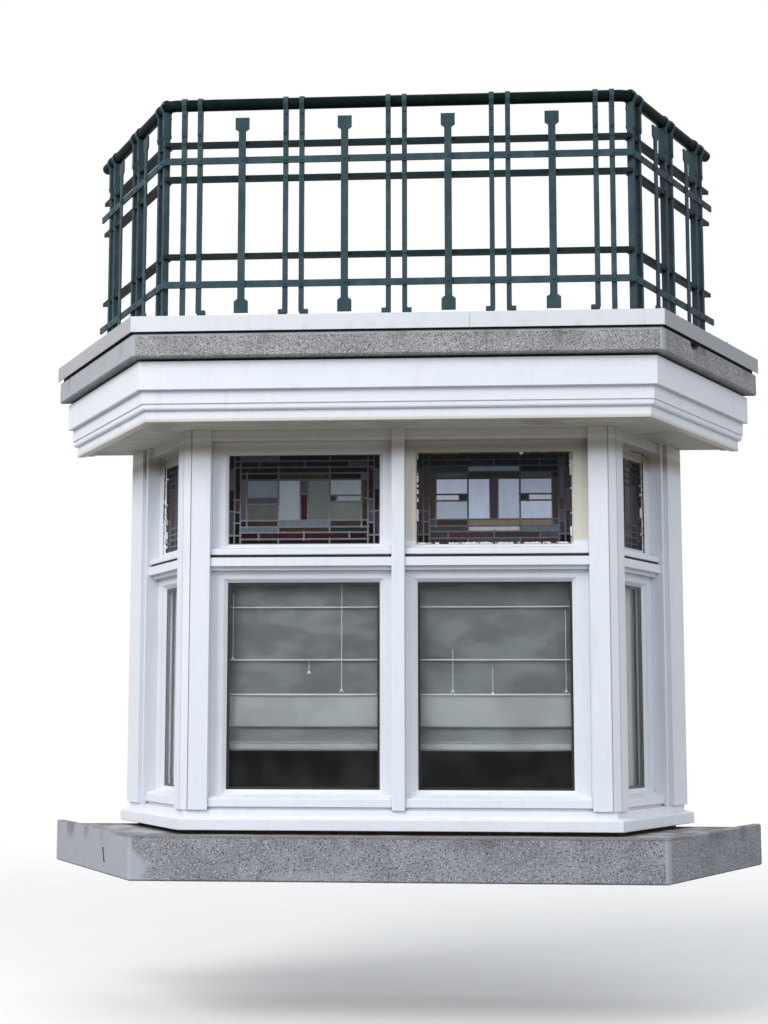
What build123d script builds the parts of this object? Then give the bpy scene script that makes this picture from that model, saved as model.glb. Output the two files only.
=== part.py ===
from build123d import *
import os
from math import cos, pi, radians, sin, tan

os.makedirs("parts", exist_ok=True)

# A three-sided bay window with a balcony on top, hung on a wall.
# X runs along the wall, +Y goes into the wall and +Z is up, all in millimetres.
# The wall's face is at Y = 0, and the origin is the middle of the sill slab's back face.

# Plan of the window frame's outer face, from which everything else is set out or back
cant_angle = 60.0
frame_depth = 610.0
frame_half_front = 877.0

# Projections beyond the frame's outer face
sill_slab_projection = 269.0
base_sill_projection = 23.0
balcony_slab_projection = 295.0
capping_projection = 305.0
railing_projection = 135.0

# Storey heights, each stacked on the one below
sill_slab_height = 175.0
sill_clearance = 2.0
base_sill_nose = 55.0
base_sill_rise = 25.0
lower_sash_gap = 11.0
lower_sash_height = 960.0
transom_neck = 16.0
transom_ledge = 35.0
upper_sash_gap = 12.0
upper_sash_height = 475.0
head_rail_height = 44.0
cornice_gap = 10.0
balcony_slab_height = 96.0
capping_gap = 5.0
capping_height = 63.0

# Concrete slabs: their eased arrises, the tray in the sill slab and the broken edge of the upper one
arris = 6.0
tray_rim = 25.0
tray_depth = 14.0
break_start = 108.0
break_length = 100.0
break_height = 34.0
break_depth = 32.0

# Window frame
frame_thickness = 108.0
post_width = 104.0
side_post_width = 88.0
post_chamfer = 22.0
post_groove = 4.0
wall_post_width = 220.0
wall_post_lip = 16.0
wall_post_channel = 57.0
wall_post_channel_depth = 22.0
mullion_width = 55.0
mullion_round = 6.0
nose_round = 4.0
ledge_setback = 10.0
neck_setback = 30.0
head_setback = 18.0
base_sill_top_setback = 12.0
base_sill_slope = 10.0
upstand_setback = 45.0
upstand_thickness = 60.0

# Sashes and glass
sash_setback = 56.0
sash_thickness = 44.0
sash_fit = 0.5
outer_stile = 66.0
meeting_stile = 50.0
side_stile = 72.0
upper_bottom_rail = 48.0
upper_top_rail = 54.0
lower_bottom_rail = 68.0
lower_top_rail = 48.0
leaded_glass_thickness = 6.0
putty_bevel = 12.0
double_glass_thickness = 20.0
bead_slope = 12.0
bead_step = 3.0

# Drip rails along the bottom of the sashes: (setback of the nose, height of the nose, height at the sash)
upper_drip = (18.0, 24.0, 34.0)
lower_drip = (12.0, 34.0, 50.0)

# Soffit and stepped cornice, whose tiers are listed from the bottom up
soffit_thickness = 18.0
soffit_recess = 8.0
soffit_strip_width = 34.0
soffit_strip_drop = 4.0
cornice_thickness = 30.0
tier_projections = (221.0, 236.0, 241.0, 260.0)
tier_heights = (45.0, 25.0, 54.0, 115.0)
backing_width = 70.0
tier_rounds = (3.0, 11.0, 3.0, 3.0)

# Balcony deck and its metal capping
kerb_setback = 12.0
capping_sheet = 3.0
capping_width = 92.0
capping_lip = 48.0
capping_joint = 1.0
capping_joint_place = 294.0
deck_thickness = 12.0
flashing_height = 144.0
flashing_thickness = 24.0
flashing_length = 620.0

# Wrought railing
handrail_height = 940.0
handrail_diameter = 48.0
handrail_wall = 3.0
handrail_bend = 70.0
tube_clearance = 0.25
bar_width = 20.0
bar_depth = 25.0
bar_pair_spacing = 66.5
bar_inset = 22.0
front_pairs = 5
front_corner_gap = 109.0
side_pairs = 3
side_corner_gap = 58.0
side_wall_gap = 130.0
rail_height = 18.0
rail_depth = 36.0
flat_rail_height = 28.0
flat_rail_thickness = 7.0
square_rail_levels = (305.0, 634.0, 780.0)
flat_rail_levels = (158.0, 681.0)
paddle_width = 30.0
paddle_end = 58.0
paddle_thickness = 6.0
paddle_shoulder = 10.0
paddle_bottom = 50.0
paddle_top = 874.0
bar_foot_level = 48.0
bar_foot_length = 18.0
bar_foot_height = 18.0
foot_bend = 12.0
strap_thickness = 4.0
strap_leg = 112.0
strap_wrap = 30.0
strap_facets = 8
base_plate = 56.0
base_plate_thickness = 8.0

# Inside the room
board_thickness = 22.0
blind_depth = 38.0
blind_drop = 760.0
blind_side_gap = 20.0
soft_clearance = 0.4
curtain_depth = 34.0
curtain_floor_gap = 12.0

# Levels of the parts that are stacked from the slab up
sill_bottom = -sill_slab_height / 2
sill_top = sill_bottom + sill_slab_height
base_bottom = sill_top + sill_clearance
nose_top = base_bottom + base_sill_nose
base_top = nose_top + base_sill_rise
lower_sash_bottom = base_top + lower_sash_gap
lower_sash_top = lower_sash_bottom + lower_sash_height
ledge_bottom = lower_sash_top + transom_neck
transom_top = ledge_bottom + transom_ledge
upper_sash_bottom = transom_top + upper_sash_gap
upper_sash_top = upper_sash_bottom + upper_sash_height
head_top = upper_sash_top + head_rail_height
cornice_bottom = head_top - soffit_recess
cornice_top = cornice_bottom + sum(tier_heights)
balcony_bottom = cornice_top + cornice_gap
balcony_top = balcony_bottom + balcony_slab_height
capping_bottom = balcony_top + capping_gap
capping_top = capping_bottom + capping_height
deck_top = balcony_top + deck_thickness
handrail_level = capping_top + handrail_height

half_turn = radians(cant_angle / 2)
turn = radians(cant_angle)
side_length = frame_depth / sin(turn)
SIDES = ("front", "left", "right")
far = 4 * frame_half_front


def save(node, shape):
    export_step(shape, f"parts/{node}.step")


# Plan geometry: outlines parallel to the frame, and the three runs along it

def outline(projection):
    """Half width at the front, depth, and half width at the wall, at one projection."""
    depth = frame_depth + projection
    half_front = frame_half_front + projection * tan(half_turn)
    return half_front, depth, half_front + depth / tan(turn)


def side_frame(side):
    """Start point, direction along and outward direction of one side of the bay."""
    half_front, depth, _ = outline(0)
    if side == "front":
        return Vector(0, -depth), Vector(1, 0), Vector(0, -1)
    hand = -1 if side == "left" else 1
    start = Vector(hand * half_front, -depth)
    return start, Vector(hand * cos(turn), sin(turn)), Vector(hand * sin(turn), -cos(turn))


def prism(points, bottom, top):
    face = make_face(Polyline(*[(x, y, bottom) for x, y in points], close=True))
    return extrude(face, top - bottom, dir=(0, 0, 1))


def sector_points(side, inner, outer):
    """Plan of one side between two outlines, cut at the mitres and at the wall."""
    half_in, depth_in, wall_in = outline(inner)
    half_out, depth_out, wall_out = outline(outer)
    if side == "front":
        return [(-half_out, -depth_out), (half_out, -depth_out), (half_in, -depth_in), (-half_in, -depth_in)]
    hand = -1 if side == "left" else 1
    points = [(half_out, -depth_out), (wall_out, 0), (wall_in, 0), (half_in, -depth_in)]
    return [(hand * x, y) for x, y in points]


def sector(side, inner, outer, bottom, top):
    return prism(sector_points(side, inner, outer), bottom, top)


def whole_plan(projection, bottom, top):
    half_front, depth, half_wall = outline(projection)
    points = [(-half_wall, 0), (-half_front, -depth), (half_front, -depth), (half_wall, 0)]
    return prism(points, bottom, top)


def ring(inner, outer, bottom, top):
    return whole_plan(outer, bottom, top) - whole_plan(inner, bottom, top)


def section(profile, rounding):
    """A closed profile, with the given radius at each of its numbered corners."""
    face = make_face(Polyline(*profile, close=True))
    for index, radius in rounding.items():
        corner = Vector(*profile[index])
        nearest = min(face.vertices(), key=lambda vertex: (Vector(vertex.X, vertex.Y) - corner).length)
        face = fillet(nearest, radius)
    return face


def moulding(side, profile, rounding={}):
    """A profile of (projection, height) points run along one side and mitred."""
    start, along, outward = side_frame(side)
    plane = Plane(origin=start, x_dir=outward, z_dir=outward.cross(Vector(0, 0, 1)))
    face = plane * section(profile, rounding)
    run = extrude(face, far, dir=tuple(along), both=True)
    reach = [point[0] for point in profile]
    levels = [point[1] for point in profile]
    return run & sector(side, min(reach) - 1, max(reach) + 1, min(levels) - 1, max(levels) + 1)


def block(side, from_s, to_s, inner, outer, bottom, top):
    """A box on one side, by its run along the frame's face, its depth and its height."""
    start, along, outward = side_frame(side)
    corners = [
        start + along * from_s + outward * inner,
        start + along * to_s + outward * inner,
        start + along * to_s + outward * outer,
        start + along * from_s + outward * outer,
    ]
    return prism([(point.X, point.Y) for point in corners], bottom, top)


# Concrete and masonry

def make_slab(projection, bottom, top):
    """A slab with its arrises eased all round, apart from those at the wall."""
    slab = whole_plan(projection, bottom, top)
    exposed = [edge for edge in slab.edges() if edge.center().Y < -1]
    return chamfer(exposed, arris)


upstand_inner = -upstand_setback - upstand_thickness
tray_floor = sill_top - tray_depth


def make_sill_slab():
    slab = make_slab(sill_slab_projection, sill_bottom, sill_top)
    return slab - ring(upstand_inner, sill_slab_projection - tray_rim, tray_floor, sill_top + 1)


def make_upstand():
    return ring(upstand_inner, -upstand_setback, tray_floor, base_bottom)


def make_balcony_slab():
    """The upper slab, with the hole broken out of its edge near the right corner."""
    slab = make_slab(balcony_slab_projection, balcony_bottom, balcony_top)
    first = break_start
    last = break_start + break_length
    low = balcony_top - break_height
    outline_points = [
        (first, balcony_top + 1),
        (first + 0.05 * break_length, low + 0.4 * break_height),
        (first + 0.22 * break_length, low),
        (first + 0.45 * break_length, low + 0.15 * break_height),
        (first + 0.8 * break_length, low + 0.45 * break_height),
        (last, balcony_top + 1),
    ]
    start, along, outward = side_frame("right")
    plane = Plane(origin=start + outward * balcony_slab_projection, x_dir=along, z_dir=along.cross(Vector(0, 0, 1)))
    face = plane * make_face(Polyline(*outline_points, close=True))
    return slab - extrude(face, break_depth, dir=tuple(outward), both=True)


# Window frame

def make_base_sill(side):
    profile = [
        (-frame_thickness, base_bottom),
        (base_sill_projection, base_bottom),
        (base_sill_projection, nose_top - base_sill_slope),
        (-base_sill_top_setback, nose_top),
        (-base_sill_top_setback, base_top),
        (-frame_thickness, base_top),
    ]
    return moulding(side, profile, {1: nose_round, 2: nose_round})


def make_corner_post(hand):
    corner = Vector(frame_half_front, -frame_depth)
    along = Vector(cos(turn), sin(turn))
    outward = Vector(sin(turn), -cos(turn))
    back_half, back_depth, _ = outline(-frame_thickness)
    front_end = corner - Vector(post_width, 0)
    side_end = corner + along * side_post_width
    groove = Vector(0, post_groove)
    facet_front = corner - Vector(post_chamfer, 0)
    facet_side = corner + along * post_chamfer
    points = [
        front_end,
        facet_front - Vector(post_groove, 0),
        facet_front - Vector(post_groove, 0) + groove,
        facet_front + groove,
        facet_front,
        facet_side,
        facet_side - outward * post_groove,
        facet_side + (along - outward) * post_groove,
        facet_side + along * post_groove,
        side_end,
        side_end - outward * frame_thickness,
        Vector(back_half, -back_depth),
        front_end + Vector(0, frame_thickness),
    ]
    return prism([(hand * point.X, point.Y) for point in points], base_top, head_top)


def make_wall_post(side):
    """A post with a narrow lip beside the sashes and a channel between the lip and the board at the wall."""
    from_s = side_length - wall_post_width
    post = block(side, from_s, 2 * side_length, -frame_thickness, 0, base_top, head_top)
    channel_start = from_s + wall_post_lip
    channel_end = channel_start + wall_post_channel
    post -= block(side, channel_start, channel_end, -wall_post_channel_depth, 1, base_top, head_top)
    return post & sector(side, -frame_thickness - 1, 1, base_top, head_top)


def make_mullion():
    half = mullion_width / 2
    mullion = block("front", -half, half, -frame_thickness, 0, base_top, head_top)
    front_edges = mullion.edges().filter_by(Axis.Z).sort_by(Axis.Y)[:2]
    return fillet(front_edges, mullion_round)


def bay_lights():
    """Each window light: its name, its side, and where it starts and ends on the frame's face."""
    half = mullion_width / 2
    inner_edge = frame_half_front - post_width
    side_end = side_length - wall_post_width
    return [
        ("front_left", "front", -inner_edge, -half),
        ("front_right", "front", half, inner_edge),
        ("left", "left", side_post_width, side_end),
        ("right", "right", side_post_width, side_end),
    ]


def make_transom(side, from_s, to_s):
    body = block(side, from_s, to_s, -frame_thickness, -neck_setback, lower_sash_top, transom_top)
    ledge = block(side, from_s, to_s, -neck_setback, -ledge_setback, ledge_bottom, transom_top)
    return body + ledge


def make_head_rail(side, from_s, to_s):
    return block(side, from_s, to_s, -frame_thickness, -head_setback, upper_sash_top, head_top)


def stile_widths(name):
    """Widths of a sash's two stiles, in the order they come along the frame's face."""
    if name == "front_left":
        return outer_stile, meeting_stile
    if name == "front_right":
        return meeting_stile, outer_stile
    return side_stile, side_stile


def glass_opening(name, from_s, to_s):
    first, last = stile_widths(name)
    return from_s + sash_fit + first, to_s - sash_fit - last


def make_sash(name, side, from_s, to_s, levels, step, slope, drip):
    """A sash with a drip rail; its opening has a small step, then a slope of putty or bead down to the glass."""
    bottom, hole_bottom, hole_top, top = levels
    outer = -sash_setback
    inner = outer - sash_thickness
    sash = block(side, from_s + sash_fit, to_s - sash_fit, inner, outer, bottom, top - sash_fit)
    hole_from, hole_to = glass_opening(name, from_s, to_s)
    margin = slope + step
    shelf = outer - step
    if step > 0:
        sash -= block(side, hole_from - margin, hole_to + margin, shelf, outer + 1,
                      hole_bottom - margin, hole_top + margin)
    sash -= block(side, hole_from, hole_to, inner - 1, outer + 1, hole_bottom, hole_top)
    start, _, outward = side_frame(side)
    rim = [edge for edge in sash.edges()
           if abs((edge.center() - start).dot(outward) - shelf) < 0.01
           and edge.length < max(hole_to - hole_from, hole_top - hole_bottom) + 0.01
           and on_opening(edge.center(), side, hole_from, hole_to, hole_bottom, hole_top)]
    return chamfer(rim, slope) + make_drip_rail(side, from_s + sash_fit, to_s - sash_fit, bottom, drip)


def make_drip_rail(side, from_s, to_s, bottom, drip):
    """The weathered bottom of a sash, which stands out over the gap below it."""
    nose_setback, nose_height, back_height = drip
    start, along, outward = side_frame(side)
    plane = Plane(origin=start + along * from_s, x_dir=outward, z_dir=outward.cross(Vector(0, 0, 1)))
    points = [(-sash_setback, bottom), (-nose_setback, bottom), (-nose_setback, bottom + nose_height),
              (-sash_setback, bottom + back_height)]
    return extrude(plane * section(points, {1: nose_round, 2: nose_round}), to_s - from_s, dir=tuple(along))


def on_opening(point, side, hole_from, hole_to, hole_bottom, hole_top):
    """Whether a point lies on the border of a glass opening, seen square to its side."""
    start, along, _ = side_frame(side)
    run = (point - start).dot(along)
    at_end = min(abs(run - hole_from), abs(run - hole_to)) < 0.01
    at_level = min(abs(point.Z - hole_bottom), abs(point.Z - hole_top)) < 0.01
    within = hole_from - 0.01 < run < hole_to + 0.01 and hole_bottom - 0.01 < point.Z < hole_top + 0.01
    return within and (at_end or at_level)


def make_glass(name, side, from_s, to_s, levels, setback, thickness):
    _, bottom, top, _ = levels
    hole_from, hole_to = glass_opening(name, from_s, to_s)
    outer = -sash_setback - setback
    return block(side, hole_from, hole_to, outer - thickness, outer, bottom, top)


upper_levels = (upper_sash_bottom, upper_sash_bottom + upper_bottom_rail,
                upper_sash_top - upper_top_rail, upper_sash_top)
lower_levels = (lower_sash_bottom, lower_sash_bottom + lower_bottom_rail,
                lower_sash_top - lower_top_rail, lower_sash_top)


# Soffit and cornice

def make_soffit():
    """Boards under the overhang, with a strip that runs along the back of the cornice."""
    tier_back = tier_projections[0] - cornice_thickness
    boards = whole_plan(tier_back, head_top, head_top + soffit_thickness)
    return boards + ring(tier_back - soffit_strip_width, tier_back, head_top - soffit_strip_drop, head_top)


def make_cornice(side):
    """Four stepped boards, the second a thin bead, as one run of moulding."""
    profile = [(tier_projections[0] - cornice_thickness, cornice_bottom)]
    level = cornice_bottom
    for projection, height in zip(tier_projections, tier_heights):
        profile.append((projection, level))
        level += height
        profile.append((projection, level))
    profile.append((tier_projections[0] - cornice_thickness, level))
    rounding = {1 + 2 * tier: radius for tier, radius in enumerate(tier_rounds)}
    return moulding(side, profile, rounding)


def make_cornice_backing():
    outer = tier_projections[0] - cornice_thickness
    return ring(outer - backing_width, outer, head_top + soffit_thickness, balcony_bottom)


# Balcony deck

kerb_outer = balcony_slab_projection - kerb_setback
kerb_inner = capping_projection - capping_width + capping_sheet


def make_kerb():
    return ring(kerb_inner, kerb_outer, balcony_top, capping_top - capping_sheet)


def make_capping_run(side):
    outer = capping_projection
    inner = outer - capping_width
    sheet = capping_sheet
    profile = [
        (outer, capping_bottom),
        (outer, capping_top),
        (inner, capping_top),
        (inner, capping_top - capping_lip),
        (inner + sheet, capping_top - capping_lip),
        (inner + sheet, capping_top - sheet),
        (outer - sheet, capping_top - sheet),
        (outer - sheet, capping_bottom),
    ]
    return moulding(side, profile)


def make_front_capping(hand):
    run = make_capping_run("front")
    edge = capping_joint_place + hand * capping_joint / 2
    return run & block("front", *sorted((edge, hand * far)), 0, far, capping_bottom - 1, capping_top + 1)


def make_deck():
    return whole_plan(kerb_inner, balcony_top, deck_top)


def make_flashing(hand):
    _, _, half_wall = outline(capping_projection - capping_width - flashing_thickness)
    near = hand * (half_wall - flashing_length)
    end = hand * half_wall
    points = [(near, 0), (end, 0), (end, -flashing_thickness), (near, -flashing_thickness)]
    return prism(points, deck_top, balcony_top + flashing_height)


# Railing

bar_outer = railing_projection
bar_inner = bar_outer - bar_depth
rail_base = capping_top


def make_rod(radius):
    """A round rod along the handrail's line, bent at the two corners."""
    half_front, depth, half_wall = outline(railing_projection - bar_depth / 2)
    corners = [(half_wall, 0), (half_front, -depth), (-half_front, -depth), (-half_wall, 0)]
    path = FilletPolyline(*[(x, y, handrail_level) for x, y in corners], radius=handrail_bend)
    rod = sweep(Plane(origin=path @ 0, z_dir=path % 0) * Circle(radius), path=path)
    reach = Box(2 * far, far, far, align=(Align.CENTER, Align.MAX, Align.CENTER))
    return rod & Pos(0, 0, handrail_level) * reach


def make_handrail():
    radius = handrail_diameter / 2
    return make_rod(radius) - make_rod(radius - handrail_wall)


def bar_top():
    return handrail_level - handrail_diameter / 2 - 2 * tube_clearance


def pair_positions(side):
    """Middles of the pairs of bars, spread evenly between the end gaps."""
    half_front, depth, _ = outline(bar_outer)
    if side == "front":
        first, last, pairs = front_corner_gap - half_front, half_front - front_corner_gap, front_pairs
    else:
        first, last, pairs = side_corner_gap, depth / sin(turn) - side_wall_gap, side_pairs
    return [first + index * (last - first) / (pairs - 1) for index in range(pairs)]


def paddle_positions(side):
    places = pair_positions(side)
    return [(first + second) / 2 for first, second in zip(places, places[1:])]


def railing_start(side):
    """Where a side's railing starts to be measured: the railing's own corner, or the front's middle."""
    start, along, outward = side_frame(side)
    shift = 0.0 if side == "front" else -bar_outer * tan(half_turn)
    return start + along * shift, along, outward


def plate(side, points, rounding, inner, outer):
    """A bar or plate cut to an outline of (run, height) points and as thick as inner to outer."""
    start, along, outward = railing_start(side)
    plane = Plane(origin=start + outward * inner, x_dir=along, z_dir=along.cross(Vector(0, 0, 1)))
    return extrude(plane * section(points, rounding), outer - inner, dir=tuple(outward))


def stands_on_deck(side, index, hand):
    """Which bars stand on the deck."""
    if side == "front":
        last = front_pairs - 1
        return index == last // 2 or (index == 0 and hand < 0) or (index == last and hand > 0)
    return hand > 0


def has_foot(side, index, hand):
    """Which bars have a foot turned outwards: those that end above the capping, and the middle pair."""
    return not stands_on_deck(side, index, hand) or (side == "front" and index == (front_pairs - 1) // 2)


def make_upright(side, index, hand, middle):
    outer_edge = middle + hand * bar_width / 2
    inner_edge = middle - hand * bar_width / 2
    toe = outer_edge + hand * bar_foot_length
    foot_bottom = rail_base + bar_foot_level
    foot_top = foot_bottom + bar_foot_height
    top = bar_top()
    base = deck_top + base_plate_thickness
    if not has_foot(side, index, hand):
        points = [(inner_edge, base), (outer_edge, base), (outer_edge, top), (inner_edge, top)]
        rounding = {}
    elif stands_on_deck(side, index, hand):
        points = [(inner_edge, base), (outer_edge, base), (outer_edge, foot_bottom), (toe, foot_bottom),
                  (toe, foot_top), (outer_edge, foot_top), (outer_edge, top), (inner_edge, top)]
        rounding = {5: foot_bend / 3}
    else:
        points = [(inner_edge, foot_bottom), (toe, foot_bottom), (toe, foot_top), (outer_edge, foot_top),
                  (outer_edge, top), (inner_edge, top)]
        rounding = {0: foot_bend, 3: foot_bend / 3}
    return plate(side, points, rounding, bar_inner, bar_outer)


def make_base_plate(side, middle):
    start, along, outward = railing_start(side)
    plane = Plane(origin=start + along * middle + outward * (bar_inner + bar_outer) / 2 + Vector(0, 0, deck_top),
                  x_dir=along, z_dir=Vector(0, 0, 1))
    return extrude(plane * Rectangle(base_plate, base_plate), base_plate_thickness)


def strap_outline(radius, face):
    """One surface of a strap: up a bar's face, off it to the tube and in short flats over the tube."""
    wrap = radians(strap_wrap)
    flat = (pi + 2 * wrap) / strap_facets
    corner_radius = radius / cos(flat / 2)
    angles = [(index + 0.5) * flat - wrap for index in range(strap_facets)]
    over = [(corner_radius * cos(angle), corner_radius * sin(angle)) for angle in angles]
    foot = -handrail_diameter / 2 - strap_leg
    knee = -(radius - face * cos(wrap)) / sin(wrap)
    return [(face, foot), (face, knee)] + over + [(-face, knee), (-face, foot)]


def make_strap(side, middle):
    """A strap round the tube, with a leg down the front and the back of its bar."""
    start, along, outward = railing_start(side)
    radius = handrail_diameter / 2 + tube_clearance
    inside = strap_outline(radius, bar_depth / 2)
    outside = strap_outline(radius + strap_thickness, bar_depth / 2 + strap_thickness)
    face = make_face(Polyline(*outside, *reversed(inside), close=True))
    origin = start + along * middle + outward * (bar_inner + bar_outer) / 2 + Vector(0, 0, handrail_level)
    plane = Plane(origin=origin, x_dir=outward, z_dir=outward.cross(Vector(0, 0, 1)))
    return extrude(plane * face, bar_width / 2, dir=tuple(along), both=True)


def make_paddle(side, place):
    """A flat bar that widens to a square at both ends, in front of the flat rails."""
    low = rail_base + paddle_bottom
    high = rail_base + paddle_top
    half_shaft = paddle_width / 2
    half_end = paddle_end / 2
    low_neck = low + paddle_end
    high_neck = high - paddle_end
    right = [(half_end, low), (half_end, low_neck - paddle_shoulder), (half_shaft, low_neck),
             (half_shaft, high_neck), (half_end, high_neck + paddle_shoulder), (half_end, high)]
    left = [(-run, level) for run, level in reversed(right)]
    points = [(place + run, level) for run, level in right + left]
    front = bar_outer + flat_rail_thickness
    return plate(side, points, {}, front, front + paddle_thickness)


def make_rails(side):
    rails = []
    for level in square_rail_levels:
        top = rail_base + level
        rails.append(moulding(side, [
            (bar_inner - rail_depth + bar_inset, top - rail_height),
            (bar_inner + bar_inset, top - rail_height),
            (bar_inner + bar_inset, top),
            (bar_inner - rail_depth + bar_inset, top),
        ]))
    for level in flat_rail_levels:
        bottom = rail_base + level
        rails.append(moulding(side, [
            (bar_outer, bottom),
            (bar_outer + flat_rail_thickness, bottom),
            (bar_outer + flat_rail_thickness, bottom + flat_rail_height),
            (bar_outer, bottom + flat_rail_height),
        ]))
    return rails


def make_railing(side):
    parts = make_rails(side)
    for index, place in enumerate(pair_positions(side)):
        for hand in (-1, 1):
            middle = place + hand * bar_pair_spacing / 2
            parts.append(make_upright(side, index, hand, middle))
            parts.append(make_strap(side, middle))
            if stands_on_deck(side, index, hand):
                parts.append(make_base_plate(side, middle))
    for place in paddle_positions(side):
        parts.append(make_paddle(side, place))
    lattice = parts[0].fuse(*parts[1:])
    lattice &= sector(side, 0, 2 * railing_projection, balcony_top, capping_top + 2 * handrail_height)
    if side == "front":
        return lattice
    return lattice - make_rod(handrail_diameter / 2 + tube_clearance)


# Inside the room

def make_window_board():
    return whole_plan(-frame_thickness, base_bottom, base_bottom + board_thickness)


def make_blind(from_s, to_s):
    outer = -frame_thickness - soft_clearance
    top = transom_top
    return block("front", from_s + blind_side_gap, to_s - blind_side_gap,
                 outer - blind_depth, outer, top - blind_drop, top)


def make_curtain(side, from_s, to_s):
    outer = -frame_thickness - soft_clearance
    return block(side, from_s, to_s, outer - curtain_depth, outer,
                 base_bottom + board_thickness + curtain_floor_gap, transom_top)


save("sill_slab", make_sill_slab())
save("sill_upstand", make_upstand())
save("soffit", make_soffit())
save("cornice_backing", make_cornice_backing())
save("balcony_slab", make_balcony_slab())
save("deck_kerb", make_kerb())
save("deck_covering", make_deck())
save("handrail", make_handrail())
save("centre_mullion", make_mullion())
save("window_board", make_window_board())

for side in SIDES:
    save(f"base_sill_{side}", make_base_sill(side))
    save(f"cornice_{side}", make_cornice(side))
    save(f"railing_{side}", make_railing(side))

for side, hand in (("left", -1), ("right", 1)):
    save(f"corner_post_{side}", make_corner_post(hand))
    save(f"wall_post_{side}", make_wall_post(side))
    save(f"capping_front_{side}", make_front_capping(hand))
    save(f"capping_{side}", make_capping_run(side))
    save(f"wall_flashing_{side}", make_flashing(hand))

leaded_panes = []
double_panes = []
for name, side, from_s, to_s in bay_lights():
    save(f"transom_{name}", make_transom(side, from_s, to_s))
    save(f"head_rail_{name}", make_head_rail(side, from_s, to_s))
    save(f"upper_sash_{name}", make_sash(name, side, from_s, to_s, upper_levels, 0, putty_bevel,
                                         upper_drip))
    save(f"lower_sash_{name}", make_sash(name, side, from_s, to_s, lower_levels, bead_step, bead_slope,
                                         lower_drip))
    leaded_panes.append(make_glass(name, side, from_s, to_s, upper_levels, putty_bevel, leaded_glass_thickness))
    double_panes.append(make_glass(name, side, from_s, to_s, lower_levels, bead_step + bead_slope,
                                   double_glass_thickness))
    if side == "front":
        save(f"roman_blind_{name.split('_')[1]}", make_blind(from_s, to_s))
    else:
        save(f"side_curtain_{side}", make_curtain(side, from_s, to_s))

save("leaded_glass", Compound(leaded_panes))
save("double_glass", Compound(double_panes))
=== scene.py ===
import math
import random

import bmesh
import bpy
from mathutils import Matrix, Vector


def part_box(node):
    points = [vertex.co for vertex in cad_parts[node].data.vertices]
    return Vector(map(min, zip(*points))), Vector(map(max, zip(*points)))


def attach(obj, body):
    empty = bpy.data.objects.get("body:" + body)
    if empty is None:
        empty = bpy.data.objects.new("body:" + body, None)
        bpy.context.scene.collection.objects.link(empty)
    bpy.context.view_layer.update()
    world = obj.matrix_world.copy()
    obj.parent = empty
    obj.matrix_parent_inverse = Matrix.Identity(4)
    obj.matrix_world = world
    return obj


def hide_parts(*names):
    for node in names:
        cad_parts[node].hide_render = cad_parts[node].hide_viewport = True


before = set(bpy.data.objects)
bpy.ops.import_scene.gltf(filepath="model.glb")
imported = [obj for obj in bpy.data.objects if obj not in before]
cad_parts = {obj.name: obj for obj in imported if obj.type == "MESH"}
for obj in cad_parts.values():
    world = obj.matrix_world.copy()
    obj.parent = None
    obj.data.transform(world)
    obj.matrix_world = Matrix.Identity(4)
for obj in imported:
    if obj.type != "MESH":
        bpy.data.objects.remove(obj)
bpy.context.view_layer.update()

blender_scene = bpy.context.scene

# The bay's own measures, in metres, as in the part's source

slab_drop = 0.0875
half_front = 0.877
frame_face = 0.610
half_turn = math.radians(30)

glass_inner_edge = 0.078
glass_outer_edge = 0.7065
side_glass_near = 0.1605
side_glass_far = 0.4119
leaded_bottom = 1.339
leaded_top = 1.712
double_bottom = 0.336
double_top = 1.180
leaded_outer = -0.068
leaded_inner = -0.074
double_outer = -0.071
double_inner = -0.091

capping_top_level = 2.215
tube_level = 3.155
tube_radius = 0.024
bar_outer = 0.135
bar_inner = 0.110
bar_half_pair = 0.03325
flat_rail_outer = 0.142
paddle_outer = 0.148
strap_thickness = 0.004
square_rail_back = 0.096
railing_half = half_front + bar_outer * math.tan(half_turn)
railing_side = (frame_face + bar_outer) / math.cos(half_turn)
front_corner_gap = 0.109
side_corner_gap = 0.058
side_wall_gap = 0.130
square_rail_middles = (0.296, 0.625, 0.771)
flat_rail_middles = (0.172, 0.695)
strap_rivet_drops = (0.023, 0.100)


def height(level):
    """The part's Z of a level above the sill slab's underside."""
    return level - slab_drop


hands = {"left": -1, "right": 1}


def place(side, along, out, level):
    """A point of one side: along its face, out from the frame's face, and above the slab's underside."""
    if side == "front":
        return Vector((along, -frame_face - out, height(level)))
    run = math.sin(half_turn)
    rise = math.cos(half_turn)
    east = hands[side] * (half_front + along * run + out * rise)
    return Vector((east, -frame_face + along * rise - out * run, height(level)))


def spread(first, last, count):
    return [first + index * (last - first) / (count - 1) for index in range(count)]


def between(places):
    return [(before + after) / 2 for before, after in zip(places, places[1:])]


railing_pairs = {
    "front": spread(front_corner_gap - railing_half, railing_half - front_corner_gap, 5),
    "left": spread(side_corner_gap, railing_side - side_wall_gap, 3),
    "right": spread(side_corner_gap, railing_side - side_wall_gap, 3),
}


def outward(side):
    if side == "front":
        return Vector((0, -1, 0))
    return Vector((hands[side] * math.cos(half_turn), -math.sin(half_turn), 0))


# Camera

camera_place = (0.249488, -6.933948, 0.540376)
camera_turn = 0.0657559
camera_tilt = 0.1112222
camera_roll = 0.0016105
focal_pixels = 1562.704
image_width = 768
image_height = 1024
principal_x = 357.164
principal_y = 542.881
sensor_size = 36


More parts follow.
